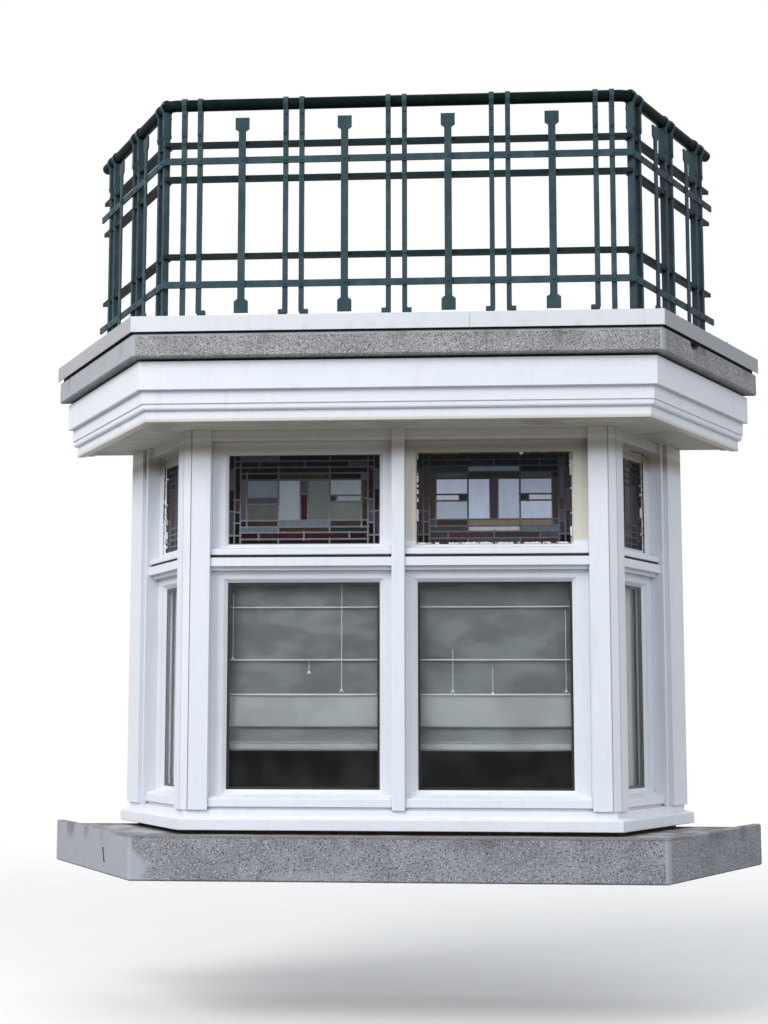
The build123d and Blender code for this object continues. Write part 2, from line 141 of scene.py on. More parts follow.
def make_camera():
    data = bpy.data.cameras.new("camera")
    data.sensor_fit = "VERTICAL"
    data.sensor_height = sensor_size
    data.sensor_width = sensor_size
    data.lens = focal_pixels * sensor_size / image_height
    data.shift_x = (image_width / 2 - principal_x) / image_height
    data.shift_y = (principal_y - image_height / 2) / image_height
    data.clip_end = 200
    lean = math.cos(camera_tilt)
    forward = Vector((-math.sin(camera_turn) * lean, math.cos(camera_turn) * lean, math.sin(camera_tilt)))
    level = Vector((math.cos(camera_turn), math.sin(camera_turn), 0))
    up = level.cross(forward)
    right = math.cos(camera_roll) * level + math.sin(camera_roll) * up
    up = -math.sin(camera_roll) * level + math.cos(camera_roll) * up
    camera = bpy.data.objects.new("camera", data)
    blender_scene.collection.objects.link(camera)
    turn = Matrix((right, up, -forward)).transposed().to_4x4()
    camera.matrix_world = Matrix.Translation(camera_place) @ turn
    blender_scene.camera = camera


make_camera()


# Shorthand for node trees and materials

finishes = {}


def channel(value):
    value /= 255
    return value / 12.92 if value <= 0.04045 else ((value + 0.055) / 1.055) ** 2.4


def paint(red, green, blue):
    """A colour as it is seen on a screen, 0 to 255, for a shader."""
    return (channel(red), channel(green), channel(blue), 1)


def shade(value):
    """A socket or a shader's colour as it is, and a colour of three numbers as paint."""
    is_screen_colour = isinstance(value, tuple) and len(value) == 3
    return paint(*value) if is_screen_colour else value


class Tree:
    """A node tree and short ways to add to it."""

    def __init__(self, tree):
        self.tree = tree
        tree.nodes.clear()

    def node(self, kind, **settings):
        made = self.tree.nodes.new(kind)
        for key, value in settings.items():
            setattr(made, key, value)
        return made

    def put(self, socket, value):
        if isinstance(value, bpy.types.NodeSocket):
            self.tree.links.new(value, socket)
        elif value is not None:
            socket.default_value = value

    def fed(self, kind, inputs, **settings):
        """A new node with its inputs set or linked."""
        made = self.node(kind, **settings)
        for key, value in inputs.items():
            self.put(made.inputs[key], value)
        return made

    def sums(self, operation, *values):
        return self.fed("ShaderNodeMath", dict(enumerate(values)), operation=operation).outputs[0]

    def chain(self, operation, values):
        result = values[0]
        for value in values[1:]:
            result = self.sums(operation, result, value)
        return result

    def times(self, *factors):
        return self.chain("MULTIPLY", factors)

    def plus(self, *terms):
        return self.chain("ADD", terms)

    def minus(self, first, second):
        return self.sums("SUBTRACT", first, second)

    def either(self, *factors):
        return self.chain("MAXIMUM", factors)

    def unsigned(self, value):
        return self.sums("ABSOLUTE", value)

    def mixed(self, share, first, second):
        return self.fed("ShaderNodeMixShader", {0: share, 1: first, 2: second}).outputs[0]

    def seen_directly(self):
        """1 for what the camera sees, also by a reflection or through glass."""
        rays = self.node("ShaderNodeLightPath").outputs
        return self.either(rays["Is Camera Ray"], rays["Is Glossy Ray"], rays["Is Transmission Ray"])


class Finish(Tree):
    """One material, the patterns that it is made of, and its colour so far."""

    def __init__(self, name):
        self.name = name
        self.material = bpy.data.materials.new(name)
        self.material.use_nodes = True
        super().__init__(self.material.node_tree)
        self.object_place = self.node("ShaderNodeTexCoord").outputs["Object"]
        self.east, self.south, self.up = self.axes(self.object_place)
        self.across, _, self.tilt = self.axes(self.node("ShaderNodeNewGeometry").outputs["Normal"])
        self.colour = None

    def axes(self, vector):
        made = self.fed("ShaderNodeSeparateXYZ", {0: vector})
        return made.outputs["X"], made.outputs["Y"], made.outputs["Z"]

    def scaled(self, vector, scale):
        return self.fed("ShaderNodeMapping", {"Vector": vector, "Scale": scale}).outputs["Vector"]

    def noise(self, scale, detail=4.0, roughness=0.55, stretch=None):
        where = self.scaled(self.object_place, stretch) if stretch else self.object_place
        inputs = {"Vector": where, "Scale": scale, "Detail": detail, "Roughness": roughness}
        return self.fed("ShaderNodeTexNoise", inputs).outputs["Fac"]

    def centred(self, scale, detail, roughness=0.55):
        """Noise to both sides of 0."""
        return self.minus(self.noise(scale, detail, roughness), 0.5)

    def patches(self, scale, detail, low, high, roughness=0.55, stretch=None):
        """Blotches, 1 where the noise is above high and 0 where it is below low."""
        return self.step(self.noise(scale, detail, roughness, stretch), low, high)

    def cells(self, scale, output="Distance"):
        inputs = {"Vector": self.object_place, "Scale": scale}
        return self.fed("ShaderNodeTexVoronoi", inputs).outputs[output]

    def step(self, value, low, high):
        """0 below low, 1 above high, smooth between them; the other way round if low is above high."""
        rising = low < high
        inputs = {"Value": value, "From Min": min(low, high), "From Max": max(low, high),
                  "To Min": 0 if rising else 1, "To Max": 1 if rising else 0}
        return self.fed("ShaderNodeMapRange", inputs, interpolation_type="SMOOTHSTEP").outputs["Result"]

    def band(self, value, low, high, soft):
        """1 between low and high, 0 outside them."""
        rise = self.step(value, low - soft, low + soft)
        return self.times(rise, self.step(value, high + soft, high - soft))

    def blend(self, factor, first, second, kind="MIX"):
        inputs = {0: factor, 6: shade(first), 7: shade(second)}
        return self.fed("ShaderNodeMix", inputs, data_type="RGBA", blend_type=kind).outputs[2]

    def coat(self, colour, *shares):
        """Puts a colour over the one so far, where all of the shares are high."""
        self.colour = self.blend(self.times(*shares), self.colour, colour)

    def ramp(self, factor, *stops):
        made = self.fed("ShaderNodeValToRGB", {"Fac": factor})
        elements = made.color_ramp.elements
        while len(elements) < len(stops):
            elements.new(1)
        for element, (position, colour) in zip(elements, stops):
            element.position = position
            element.color = shade(colour)
        return made.outputs["Color"]

    def crevice(self, distance, low, high):
        """1 deep in corners and gaps, 0 in the open."""
        made = self.fed("ShaderNodeAmbientOcclusion", {"Distance": distance}, samples=6)
        return self.step(made.outputs["AO"], high, low)

    def bump(self, relief, depth, strength, arris=None):
        """A normal for a relief; with an arris, over edges rounded by that radius."""
        before = None
        if arris:
            before = self.fed("ShaderNodeBevel", {"Radius": arris}, samples=6).outputs["Normal"]
        inputs = {"Strength": strength, "Distance": depth, "Height": relief, "Normal": before}
        return self.fed("ShaderNodeBump", inputs).outputs["Normal"]

    def surface(self, colour, roughness, normal=None, **others):
        inputs = {"Base Color": shade(colour), "Roughness": roughness, "Normal": normal}
        inputs.update({key.replace("_", " "): value for key, value in others.items()})
        return self.fed("ShaderNodeBsdfPrincipled", inputs).outputs["BSDF"]

    def close(self, shader):
        """Ends the material with a shader, and keeps it by its name."""
        self.fed("ShaderNodeOutputMaterial", {"Surface": shader})
        finishes[self.name] = self.material
        return self.material

    def solid(self, roughness, relief, depth, strength, arris=None, **others):
        """Ends the material as an opaque surface of the colour so far."""
        normal = self.bump(relief, depth, strength, arris)
        self.close(self.surface(self.colour, roughness, normal, **others))


# Concrete

slab_front_projection = 0.269
balcony_projection = 0.295
sill_slab_top = 0.0875
balcony_slab_top = 2.0595
pebble_scale = 175
grit_scale = 350


def distance_to_arris(finish, projection):
    """How far a point of the slab's outside is from its nearest upright arris, along the front."""
    corner = half_front + projection * math.tan(half_turn)
    return finish.unsigned(finish.minus(finish.unsigned(finish.east), corner))


def mortar_patch(finish):
    """Mortar on the slab's front: a repair at the left end, and a thin smear low in the middle."""
    wobble = finish.times(finish.centred(24, 5, 0.6), 0.050)
    lean = finish.times(finish.step(finish.up, -0.02, 0.07), 0.10)
    ragged_east = finish.plus(finish.east, lean, finish.times(wobble, 1.6))
    repair = finish.band(ragged_east, -1.08, -0.965, 0.022)
    smear = finish.times(
        finish.band(finish.plus(finish.east, finish.times(wobble, 3.0)), -0.50, -0.12, 0.05),
        finish.band(finish.plus(finish.up, wobble), -0.080, -0.056, 0.014), 0.30,
    )
    return finish.times(finish.either(repair, smear), finish.step(finish.south, -0.86, -0.868))


def slab_crack(finish):
    """A fine crack down the left face of the sill slab."""
    wobble = finish.times(finish.centred(45, 6), 0.016)
    lean = finish.times(finish.minus(finish.up, -0.012), -0.30)
    line = finish.unsigned(finish.plus(finish.south, 0.600, finish.plus(lean, wobble)))
    return finish.times(
        finish.step(line, 0.0095, 0.0060),
        finish.band(finish.up, -0.042, 0.018, 0.004),
        finish.step(finish.east, -1.05, -1.10),
    )


def aggregate(finish, pebble, fresh, dull):
    """Pebbles and grit in a bed of cement of two shades."""
    cement = finish.blend(finish.patches(7, 6, 0.35, 0.7), fresh, dull)
    stones = finish.ramp(
        finish.axes(finish.cells(pebble_scale, "Color"))[0],
        (0.0, (34, 34, 39)), (0.24, (92, 93, 99)), (0.45, (190, 192, 198)),
        (0.64, (88, 89, 95)), (0.82, (224, 225, 229)), (1.0, (46, 47, 53)),
    )
    grit = finish.ramp(
        finish.axes(finish.cells(grit_scale, "Color"))[1],
        (0.0, (62, 62, 69)), (0.4, (146, 146, 151)), (0.75, (190, 191, 197)), (1.0, (240, 241, 245)),
    )
    bed = finish.blend(finish.step(finish.cells(grit_scale), 0.42, 0.30), cement, grit)
    return finish.blend(finish.step(pebble, 0.46, 0.38), bed, stones)


def smooth_parts(finish, projection, top, is_sill):
    """1 where no stones show: on the left face, the arrises, the flat top and the sill slab's mortar."""
    clean = finish.step(distance_to_arris(finish, projection), 0.016, 0.009)
    if not is_sill:
        clean = finish.either(finish.step(finish.up, top - 0.014, top - 0.009), clean)
    edge = finish.step(finish.plus(clean, finish.centred(60, 3)), 0.42, 0.58)
    left_face = finish.step(finish.across, -0.55, -0.75)
    smooth = finish.either(left_face, edge, finish.step(finish.tilt, 0.6, 0.9))
    return finish.either(smooth, finish.times(mortar_patch(finish), 0.75)) if is_sill else smooth


def rain_stain(finish, top, is_sill):
    """Streaks down from the top, and on the sill slab's front a line of dirt along it."""
    upper = finish.step(finish.up, top - 0.085, top - 0.004)
    stain = finish.times(finish.patches(6, 5, 0.52, 0.72, 0.6, (1, 1, 0.25)), upper, 0.75)
    if not is_sill:
        return stain
    edge = finish.step(finish.up, top - 0.016, top - 0.004)
    return finish.either(stain, finish.times(edge, finish.step(finish.south, -0.6, -0.8), 0.55))


def make_concrete(name, projection, top, is_sill):
    """Exposed aggregate with plain edges; the sill slab also has mortar, a crack and brown patches on the
    top of its tray.
    """
    finish = Finish(name)
    pebble = finish.cells(pebble_scale)
    shades = ((152, 155, 165), (128, 131, 141)) if is_sill else ((162, 161, 163), (140, 139, 141))
    plain = finish.blend(finish.noise(18, 6, 0.65), (158, 160, 168), (178, 180, 188))
    smooth = smooth_parts(finish, projection, top, is_sill)
    finish.colour = finish.blend(smooth, aggregate(finish, pebble, *shades), plain)
    if is_sill:
        finish.coat((176, 183, 194), mortar_patch(finish), 0.6)
    finish.coat((70, 66, 58), rain_stain(finish, top, is_sill))
    # Painted shade with some dirt: a dark brown in corners and gaps.
    finish.coat((62, 54, 46), finish.crevice(0.05, 0.35, 0.95), 0.55)
    if is_sill:
        finish.coat((34, 32, 30), slab_crack(finish), 0.9)
        tray_patches = finish.patches(9, 5, 0.35, 0.6)
        inside = finish.step(finish.south, -0.80, -0.70)
        finish.coat((84, 66, 48), finish.step(finish.tilt, 0.6, 0.9), tray_patches, inside, 0.7)
    raised = finish.times(finish.step(pebble, 0.5, 0.15), finish.minus(1.0, smooth))
    relief = finish.plus(raised, finish.times(finish.noise(260, 3), 0.25))
    finish.solid(0.88, relief, 0.0022, 0.8, 0.003)


# Painted timber, metal and the other hard finishes

clean_coat = ((219, 224, 234), (231, 235, 243))


def make_painted_timber(name, old_above=None):
    """Brushed paint; above the given level it may be an older coat, yellowed."""
    finish = Finish(name)
    up = finish.up
    brushed = finish.noise(60, 4, 0.6, (1, 1, 0.12))
    finish.colour = finish.blend(finish.noise(2.3, 4), *clean_coat)
    if old_above:
        yellowed = finish.blend(finish.noise(9, 5), (200, 196, 183), (216, 213, 203))
        finish.coat(yellowed, finish.step(up, old_above - 0.006, old_above + 0.006))
    finish.coat((198, 203, 212), finish.step(brushed, 0.45, 0.75), 0.14)
    streak = finish.patches(16, 5, 0.52, 0.72, 0.6, (1, 1, 0.10))
    finish.coat((180, 180, 178), streak, finish.patches(3.1, 3, 0.35, 0.65), 0.22)
    # Grime and painted shade: a dull grey in patches in corners.
    grime_and_crevice_shade = finish.times(finish.crevice(0.015, 0.10, 0.50), finish.patches(24, 5, 0.25, 0.65))
    finish.coat((132, 130, 124), grime_and_crevice_shade, 0.5)
    # Painted shade: near black deep in narrow gaps and slits.
    finish.coat((24, 23, 22), finish.crevice(0.050, 0.06, 0.30), 0.95)
    ledge_dirt = finish.times(finish.step(finish.tilt, 0.5, 0.95), finish.patches(20, 6, 0.42, 0.66), 0.16)
    finish.coat((168, 166, 158), ledge_dirt)
    outer = finish.step(finish.unsigned(finish.east), 0.86, 0.94)
    # Painted shade: a warm cream-brown band over the head rail, under the soffit.
    finish.coat((184, 168, 134), finish.band(up, 1.688, 1.727, 0.006), 0.55)
    # Painted shade under the soffit, darkening the upper sashes' top rails; on the older coats it is a
    # deeper brown, partly a real stain.
    stain_and_soffit_shade = finish.times(finish.band(up, 1.62, 1.682, 0.04), finish.sums("MULTIPLY_ADD", outer, 0.05, 0.80))
    finish.coat((96, 82, 58) if old_above else (138, 124, 98), stain_and_soffit_shade)
    chips = finish.patches(55, 8, 0.735, 0.755, 0.7)
    finish.coat((150, 138, 120), chips, 0.8)
    relief = finish.plus(finish.times(brushed, 0.5), finish.times(finish.noise(420, 2), 0.3))
    relief = finish.minus(relief, finish.times(chips, 0.6))
    finish.solid(finish.sums("MULTIPLY_ADD", brushed, 0.18, 0.36), relief, 0.0006, 0.5, 0.0022)


def make_capping():
    finish = Finish("capping_metal")
    broad = finish.noise(1.9, 4)
    finish.colour = finish.blend(broad, (206, 210, 218), (218, 221, 228))
    # The side faces greyer than the front; the right side darker still, as painted shade.
    finish.coat((164, 166, 172), finish.step(finish.across, -0.5, -0.75))
    finish.coat((150, 153, 160), finish.step(finish.across, 0.5, 0.75))
    finish.coat((168, 167, 164), finish.patches(22, 5, 0.50, 0.78, 0.6, (1, 1, 0.08)), 0.18)
    lower = finish.step(finish.up, 2.105, 2.070)
    finish.coat((120, 116, 106), finish.patches(13, 6, 0.5, 0.75), lower, 0.3)
    # Dirt and painted shade in the corners.
    finish.coat((96, 94, 80), finish.crevice(0.03, 0.3, 0.9), finish.patches(30, 5, 0.35, 0.6), 0.6)
    relief = finish.plus(finish.noise(5, 3), finish.times(finish.noise(300, 2), 0.06))
    finish.solid(finish.sums("MULTIPLY_ADD", broad, 0.2, 0.40), relief, 0.0012, 0.5, 0.0012)


def make_felt():
    finish = Finish("roof_felt")
    grain_key = finish.axes(finish.cells(700, "Color"))[0]
    finish.colour = finish.ramp(grain_key, (0.0, (46, 47, 49)), (0.6, (66, 67, 68)), (1.0, (98, 98, 96)))
    finish.coat((104, 102, 92), finish.patches(5, 6, 0.46, 0.68, 0.6), 0.5)
    relief = finish.plus(finish.times(finish.noise(14, 3), 2.0), finish.times(finish.cells(700), 0.6))
    finish.solid(0.9, relief, 0.0012, 0.6, 0.002)


def outside_distance(finish):
    """How far a point is outside the frame's face, square to its side."""
    front = finish.minus(finish.times(finish.south, -1.0), frame_face)
    beside = finish.times(finish.minus(finish.unsigned(finish.east), half_front), math.cos(half_turn))
    return finish.either(front, finish.sums("MULTIPLY_ADD", front, math.sin(half_turn), beside))


def make_green_paint(name, fresh, dull, faded, dark_rails):
    """Old gloss paint on iron, chalky in places, with a little rust where water stays; its upper faces
    paler, as dust and a painted highlight.
    """
    finish = Finish(name)
    finish.colour = finish.blend(finish.noise(4, 4), fresh, dull)
    finish.coat(faded, finish.patches(17, 5, 0.45, 0.75), 0.35)
    # Dust and a painted highlight: paler patches on upward faces.
    finish.coat((98, 112, 112), finish.step(finish.tilt, 0.45, 0.9), finish.patches(23, 6, 0.40, 0.65), 0.5)
    rust = finish.either(
        finish.times(finish.patches(31, 8, 0.675, 0.70, 0.68), 0.8),
        finish.times(finish.crevice(0.012, 0.15, 0.5), finish.patches(40, 5, 0.56, 0.66), 0.35),
    )
    rust_stops = ((0.3, (34, 26, 22)), (0.55, (62, 44, 34)), (0.8, (86, 62, 46)))
    finish.coat(finish.ramp(finish.noise(90, 4), *rust_stops), rust)
    # Painted shade: where asked, the square rails behind the bars are coloured near black.
    if dark_rails:
        behind = finish.step(outside_distance(finish), 0.1338, 0.1330)
        levels = [height(capping_top_level + middle) for middle in square_rail_middles]
        rails = [finish.band(finish.up, level - 0.0115, level + 0.0115, 0.0015) for level in levels]
        finish.coat((12, 22, 25), behind, finish.either(*rails), 0.72)
    relief = finish.plus(finish.times(finish.noise(150, 3), 0.35), finish.times(rust, 0.9))
    relief = finish.plus(relief, finish.times(finish.noise(30, 2), 0.5))
    roughness = finish.sums("MULTIPLY_ADD", rust, 0.40, 0.40)
    finish.solid(roughness, relief, 0.0006, 0.7, 0.0015, IOR=1.15, Specular_IOR_Level=0.2)


def make_soffit_boards():
    finish = Finish("soffit_boards")
    board_pitch = 0.094
    board_place = finish.sums("FRACT", finish.sums("DIVIDE", finish.plus(finish.south, 2.0), board_pitch))
    groove = finish.minus(1.0, finish.band(board_place, 0.035, 0.965, 0.03))
    grain = finish.times(finish.patches(40, 4, 0.5, 0.7, 0.6, (0.1, 1, 1)), 0.3)
    finish.colour = finish.blend(finish.noise(4, 5), (196, 194, 182), (214, 212, 202))
    finish.coat((168, 164, 150), grain)
    finish.coat((110, 107, 98), groove, 0.35)
    finish.coat((140, 130, 106), finish.patches(5, 6, 0.5, 0.68), 0.5)
    finish.solid(0.7, finish.minus(finish.times(grain, 0.3), groove), 0.002, 0.8)


def make_bare_timber(name, scale, stretch, *stops, knots=False):
    """Sawn timber with its grain along the bay; the stops are (grain, colour)."""
    finish = Finish(name)
    grain = finish.noise(scale, 6, 0.6, (stretch, 1, 1))
    finish.colour = finish.ramp(grain, *stops)
    if knots:
        finish.coat((78, 54, 34), finish.step(finish.cells(7), 0.16, 0.08), 0.7)
    finish.solid(0.85, grain, 0.001, 0.7)


def make_masonry():
    finish = Finish("masonry")
    finish.colour = finish.blend(finish.noise(9, 7, 0.65), (128, 122, 114), (96, 90, 82))
    finish.coat((66, 52, 40), finish.patches(14, 5, 0.45, 0.62), 0.6)
    finish.solid(0.9, finish.noise(120, 5), 0.002, 0.7)


def make_mottled(name, pattern, first, second, roughness, grain, depth, strength, **others):
    """Two close colours in soft blotches over a fine grain; pattern and grain are (scale, detail)."""
    finish = Finish(name)
    finish.colour = finish.blend(finish.noise(*pattern), first, second)
    finish.solid(roughness, finish.noise(*grain), depth, strength, **others)


# Glass and lead

def tint_of(finish):
    """The colour that a mesh carries by itself."""
    return finish.node("ShaderNodeVertexColor", layer_name="tint").outputs["Color"]


def make_stained_glass():
    finish = Finish("stained_glass")
    streaks = finish.noise(24, 5, 0.6, (1, 1, 0.35))
    near_black = (0.02, 0.02, 0.022, 1)
    finish.colour = finish.blend(finish.times(streaks, 0.35), tint_of(finish), near_black, "MULTIPLY")
    finish.coat((150, 148, 140), finish.times(finish.patches(38, 6, 0.42, 0.74), 0.03))
    ripples = finish.plus(finish.noise(42, 2), finish.times(finish.noise(160, 3), 0.15))
    finish.solid(0.12, ripples, 0.0016, 0.5, IOR=1.25, Specular_IOR_Level=0.25)


def make_lead():
    """Lead, dark near the top, and paler lower down and on the left."""
    finish = Finish("lead_came")
    left = finish.step(finish.east, 0.06, -0.06)
    low_part = finish.step(finish.up, 1.50, 1.30)
    bright = finish.times(low_part, finish.sums("MULTIPLY_ADD", left, 0.6, 0.4))
    finish.colour = finish.blend(bright, (34, 38, 44), (112, 114, 122))
    finish.coat((92, 90, 98), left, 0.35)
    finish.coat((150, 150, 156), finish.patches(130, 5, 0.5, 0.7), bright, 0.5)
    finish.solid(0.6, finish.noise(260, 4), 0.0003, 0.6, Specular_IOR_Level=0.2)


def make_clear_glass():
    """Glass with a thin film of dirt, which lets shadow rays straight through."""
    finish = Finish("clear_glass")
    glass = finish.surface((0.98, 0.985, 0.98, 1), 0.01, None, Transmission_Weight=1.0, IOR=1.1)
    film = finish.surface((170, 168, 160), 0.6)
    smear = finish.times(finish.patches(9, 7, 0.44, 0.78, 0.65), 0.012)
    dirty = finish.mixed(smear, glass, film)
    see_through = finish.fed("ShaderNodeBsdfTransparent", {"Color": (0.98, 0.984, 0.982, 1)}).outputs[0]
    rays = finish.node("ShaderNodeLightPath").outputs
    finish.close(finish.mixed(rays["Is Shadow Ray"], dirty, see_through))


def make_putty():
    """Dried putty: its own tint says where it is sound and where it has fallen out."""
    finish = Finish("old_putty")
    flake = finish.noise(140, 7, 0.65)
    finish.colour = tint_of(finish)
    finish.coat((74, 62, 48), finish.step(flake, 0.62, 0.68))
    finish.solid(0.85, finish.plus(flake, finish.times(finish.cells(190), 0.5)), 0.0016, 0.8)


# Cloth

def weave(finish, scale):
    """Fine threads crossing each other and a slubby unevenness, from the cloth's own width and length."""
    spot = finish.node("ShaderNodeUVMap", uv_map="cloth").outputs["UV"]
    width, length, _ = finish.axes(finish.scaled(spot, (scale, scale, scale)))
    threads = [finish.unsigned(finish.sums("SINE", finish.times(way, math.pi))) for way in (width, length)]
    slub = finish.fed("ShaderNodeTexNoise", {"Vector": spot, "Scale": 70, "Detail": 5})
    return finish.either(*threads), slub.outputs["Fac"]


blind_ribs = (0.9935, 0.7760, 0.6345)


def make_blind_cloth():
    finish = Finish("blind_cloth")
    up = finish.up
    threads, slub = weave(finish, 900)
    finish.colour = finish.blend(slub, (112, 116, 120), (132, 136, 140))
    single_layer = finish.step(up, 0.625, 0.642)
    lowest_fold = finish.band(up, 0.442, 0.502, 0.004)
    # Painted shade: the flat single layer darker than the folded stack below it, and the lowest fold darker
    # still.
    finish.coat((56, 61, 66), single_layer, 0.9)
    finish.coat((60, 66, 72), lowest_fold, 0.75)
    finish.coat((118, 124, 130), finish.patches(5.5, 6, 0.40, 0.62, 0.62, (1, 1, 1.8)), 0.32)
    finish.coat((54, 58, 62), finish.patches(3.4, 5, 0.48, 0.64, 0.6), 0.25)
    ribs = [finish.band(up, rib - 0.0022, rib + 0.0016, 0.001) for rib in blind_ribs]
    finish.coat((168, 172, 174), finish.either(*ribs))
    finish.coat((70, 74, 76), finish.step(threads, 0.8, 0.3), 0.22)
    finish.solid(0.9, finish.plus(threads, slub), 0.0004, 0.6, Sheen_Weight=0.15)


def make_curtain_cloth():
    finish = Finish("curtain_cloth")
    threads, slub = weave(finish, 700)
    finish.colour = finish.blend(slub, (204, 207, 212), (226, 229, 233))
    # Painted shade: the curtain on the right side a darker grey.
    finish.coat((150, 153, 156), finish.step(finish.east, -0.1, 0.1))
    finish.coat((128, 130, 128), finish.step(threads, 0.8, 0.3), 0.25)
    finish.solid(0.92, finish.plus(threads, slub), 0.0005, 0.6, Sheen_Weight=0.2)


make_concrete("sill_concrete", slab_front_projection, sill_slab_top, True)
make_concrete("balcony_concrete", balcony_projection, balcony_slab_top, False)
make_painted_timber("white_timber")
make_painted_timber("yellowed_timber", 1.262)
make_painted_timber("aged_timber", 1.600)
make_capping()
make_felt()
make_green_paint("railing_paint", (46, 65, 71), (64, 82, 89), (88, 106, 113), True)
make_green_paint("handrail_paint", (10, 20, 21), (17, 29, 30), (32, 46, 46), False)
make_soffit_boards()
make_bare_timber("rough_timber", 26, 0.08, (0.3, (104, 84, 62)), (0.55, (150, 126, 96)),
                 (0.75, (176, 152, 118)), knots=True)
make_bare_timber("tarred_timber", 30, 0.1, (0.3, (24, 22, 20)), (0.6, (44, 40, 35)), (0.8, (66, 60, 50)))
make_masonry()
make_stained_glass()
make_lead()
make_clear_glass()
make_mottled("spacer_metal", (90, 4), (96, 98, 101), (128, 130, 133), 0.38, (500, 2), 0.0002, 0.5,
             Metallic=0.8)
# The seals' black finish, which also serves as painted shade in the gaps under the upper sashes.
make_mottled("rubber_and_gap_shade", (35, 6), (16, 16, 17), (40, 39, 38), 0.7, (300, 3), 0.0003, 0.5)
make_putty()
make_blind_cloth()
make_curtain_cloth()
make_mottled("cord", (160, 4), (168, 171, 172), (196, 199, 200), 0.8, (900, 2), 0.0002, 0.6)

node_finishes = [
    ("upper_sash_front_right", "yellowed_timber"),
    ("upper_sash_left", "aged_timber"),
    ("upper_sash_right", "aged_timber"),
    ("sill_slab", "sill_concrete"),
    ("sill_upstand", "masonry"),
    ("balcony_slab", "balcony_concrete"),
    ("capping", "capping_metal"),
    ("deck_covering", "roof_felt"),
    ("wall_flashing", "roof_felt"),
    ("deck_kerb", "tarred_timber"),
    ("cornice_backing", "rough_timber"),
    ("railing", "railing_paint"),
    ("handrail", "handrail_paint"),
    ("soffit", "soffit_boards"),
    ("leaded_glass", "stained_glass"),
    ("double_glass", "clear_glass"),
    ("roman_blind", "blind_cloth"),
    ("side_curtain", "curtain_cloth"),
]


def finish_of(node):
    for start, name in node_finishes:
        if node.startswith(start):
            return finishes[name]
    return finishes["white_timber"]


def dress_nodes():
    for node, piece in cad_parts.items():
        for material_slot in piece.material_slots:
            material_slot.material = finish_of(node)


dress_nodes()


# Making pieces

def add_piece(name, mesh, finish_name, node=None):
    """A piece of the part, in place of a CAD node where one is named."""
    if finish_name:
        mesh.materials.clear()
        mesh.materials.append(finishes[finish_name])
    piece = bpy.data.objects.new(name, mesh)
    blender_scene.collection.objects.link(piece)
    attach(piece, "root")
    if node:
        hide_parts(node)
    return piece


def bake(name, shape):
    mesh = bpy.data.meshes.new(name)
    shape.to_mesh(mesh)
    shape.free()
    return mesh


def add_shape(name, shape, finish_name, node=None, smooth_angle=None):
    """A piece of closed bodies, flat-faced, or with turns of up to an angle smooth."""
    bmesh.ops.recalc_face_normals(shape, faces=shape.faces)
    mesh = bake(name, shape)
    if smooth_angle is not None:
        mesh.shade_smooth()
        mesh.set_sharp_from_angle(angle=smooth_angle)
    return add_piece(name, mesh, finish_name, node)


block_faces = ((0, 1, 2, 3), (4, 5, 6, 7), (0, 1, 5, 4), (1, 2, 6, 5), (2, 3, 7, 6), (3, 0, 4, 7))


def add_block(shape, side, start, end, inner, outer, bottom, top, lean=(0.0, 0.0)):
    """A box in one side of the bay, its faces leaning a little, as a loose pane does."""
    corners = []
    for out in (inner, outer):
        for along, level in ((start, bottom), (end, bottom), (end, top), (start, top)):
            tip = lean[0] * (1 if along == end else -1) + lean[1] * (1 if level == top else -1)
            corners.append(shape.verts.new(place(side, along, out + tip, level)))
    return [shape.faces.new([corners[index] for index in face]) for face in block_faces]


def tint_face(face, layer, tint):
    for loop in face.loops:
        loop[layer] = tint


def close_rings(shape, rings, layer=None, tints=None, end_tints=(None, None)):
    """Joins rings of points into one closed body; with a layer, each stretch and each end has its tint."""
    count = len(rings[0])
    for stretch, (before, after) in enumerate(zip(rings, rings[1:])):
        for index in range(count):
            following = (index + 1) % count
            face = shape.faces.new((before[index], before[following], after[following], after[index]))
            if layer:
                tint_face(face, layer, tints[stretch])
    for ring, tint in zip((rings[0], rings[-1]), end_tints):
        face = shape.faces.new(ring)
        if layer:
            tint_face(face, layer, tint)


# Leaded panels

came_half = 0.0036
came_section = (
    # (share of the half width, share of the half thickness)
    (-1, 0.45), (-0.62, 0.86), (0, 1), (0.62, 0.86), (1, 0.45),
    (1, -0.45), (0.62, -0.86), (0, -1), (-0.62, -0.86), (-1, -0.45),
)
came_smooth_angle = math.radians(50)
pane_inner = -0.0723
pane_outer = -0.0697
pane_lean = (0.0003, 0.0002)
pane_fade = (0.85, 1.15)
pane_seed = 7

night = (13, 9, 12)
ember = (30, 14, 20)
soot = (22, 15, 15)
violet = (72, 66, 78)
plum = (58, 48, 56)
mauve = (68, 46, 57)
wine = (50, 18, 28)
umber = (52, 46, 34)
brown = (60, 50, 42)
olive = (40, 36, 22)
teal = (30, 42, 45)
steel = (60, 66, 72)
slate = (98, 108, 120)
# pale is made lighter than the glass itself: a painted reflection of the bright sky in those panes.
smoke = (66, 66, 76)
pale = (170, 180, 202)
pearl = (178, 178, 186)
misty = (140, 150, 158)
leafy = (100, 107, 106)
moss_pane = (84, 90, 87)
sandy = (122, 110, 94)

# Places in a panel are shares of its width from the left, and of its height from the top.
outer_splits = (0.0, 0.16, 0.38, 0.63, 0.90, 1.0)
second_splits = (0.0, 0.066, 0.136, 0.50, 0.64, 0.76, 0.90, 1.0)
strip_splits = (outer_splits, second_splits, second_splits, outer_splits)
row_spans = ((0.0, 0.066), (0.066, 0.136), (0.136, 0.205), (0.205, 0.278),
             (0.734, 0.807), (0.807, 0.869), (0.869, 0.943), (0.943, 1.0))
middle_span = (0.278, 0.734)

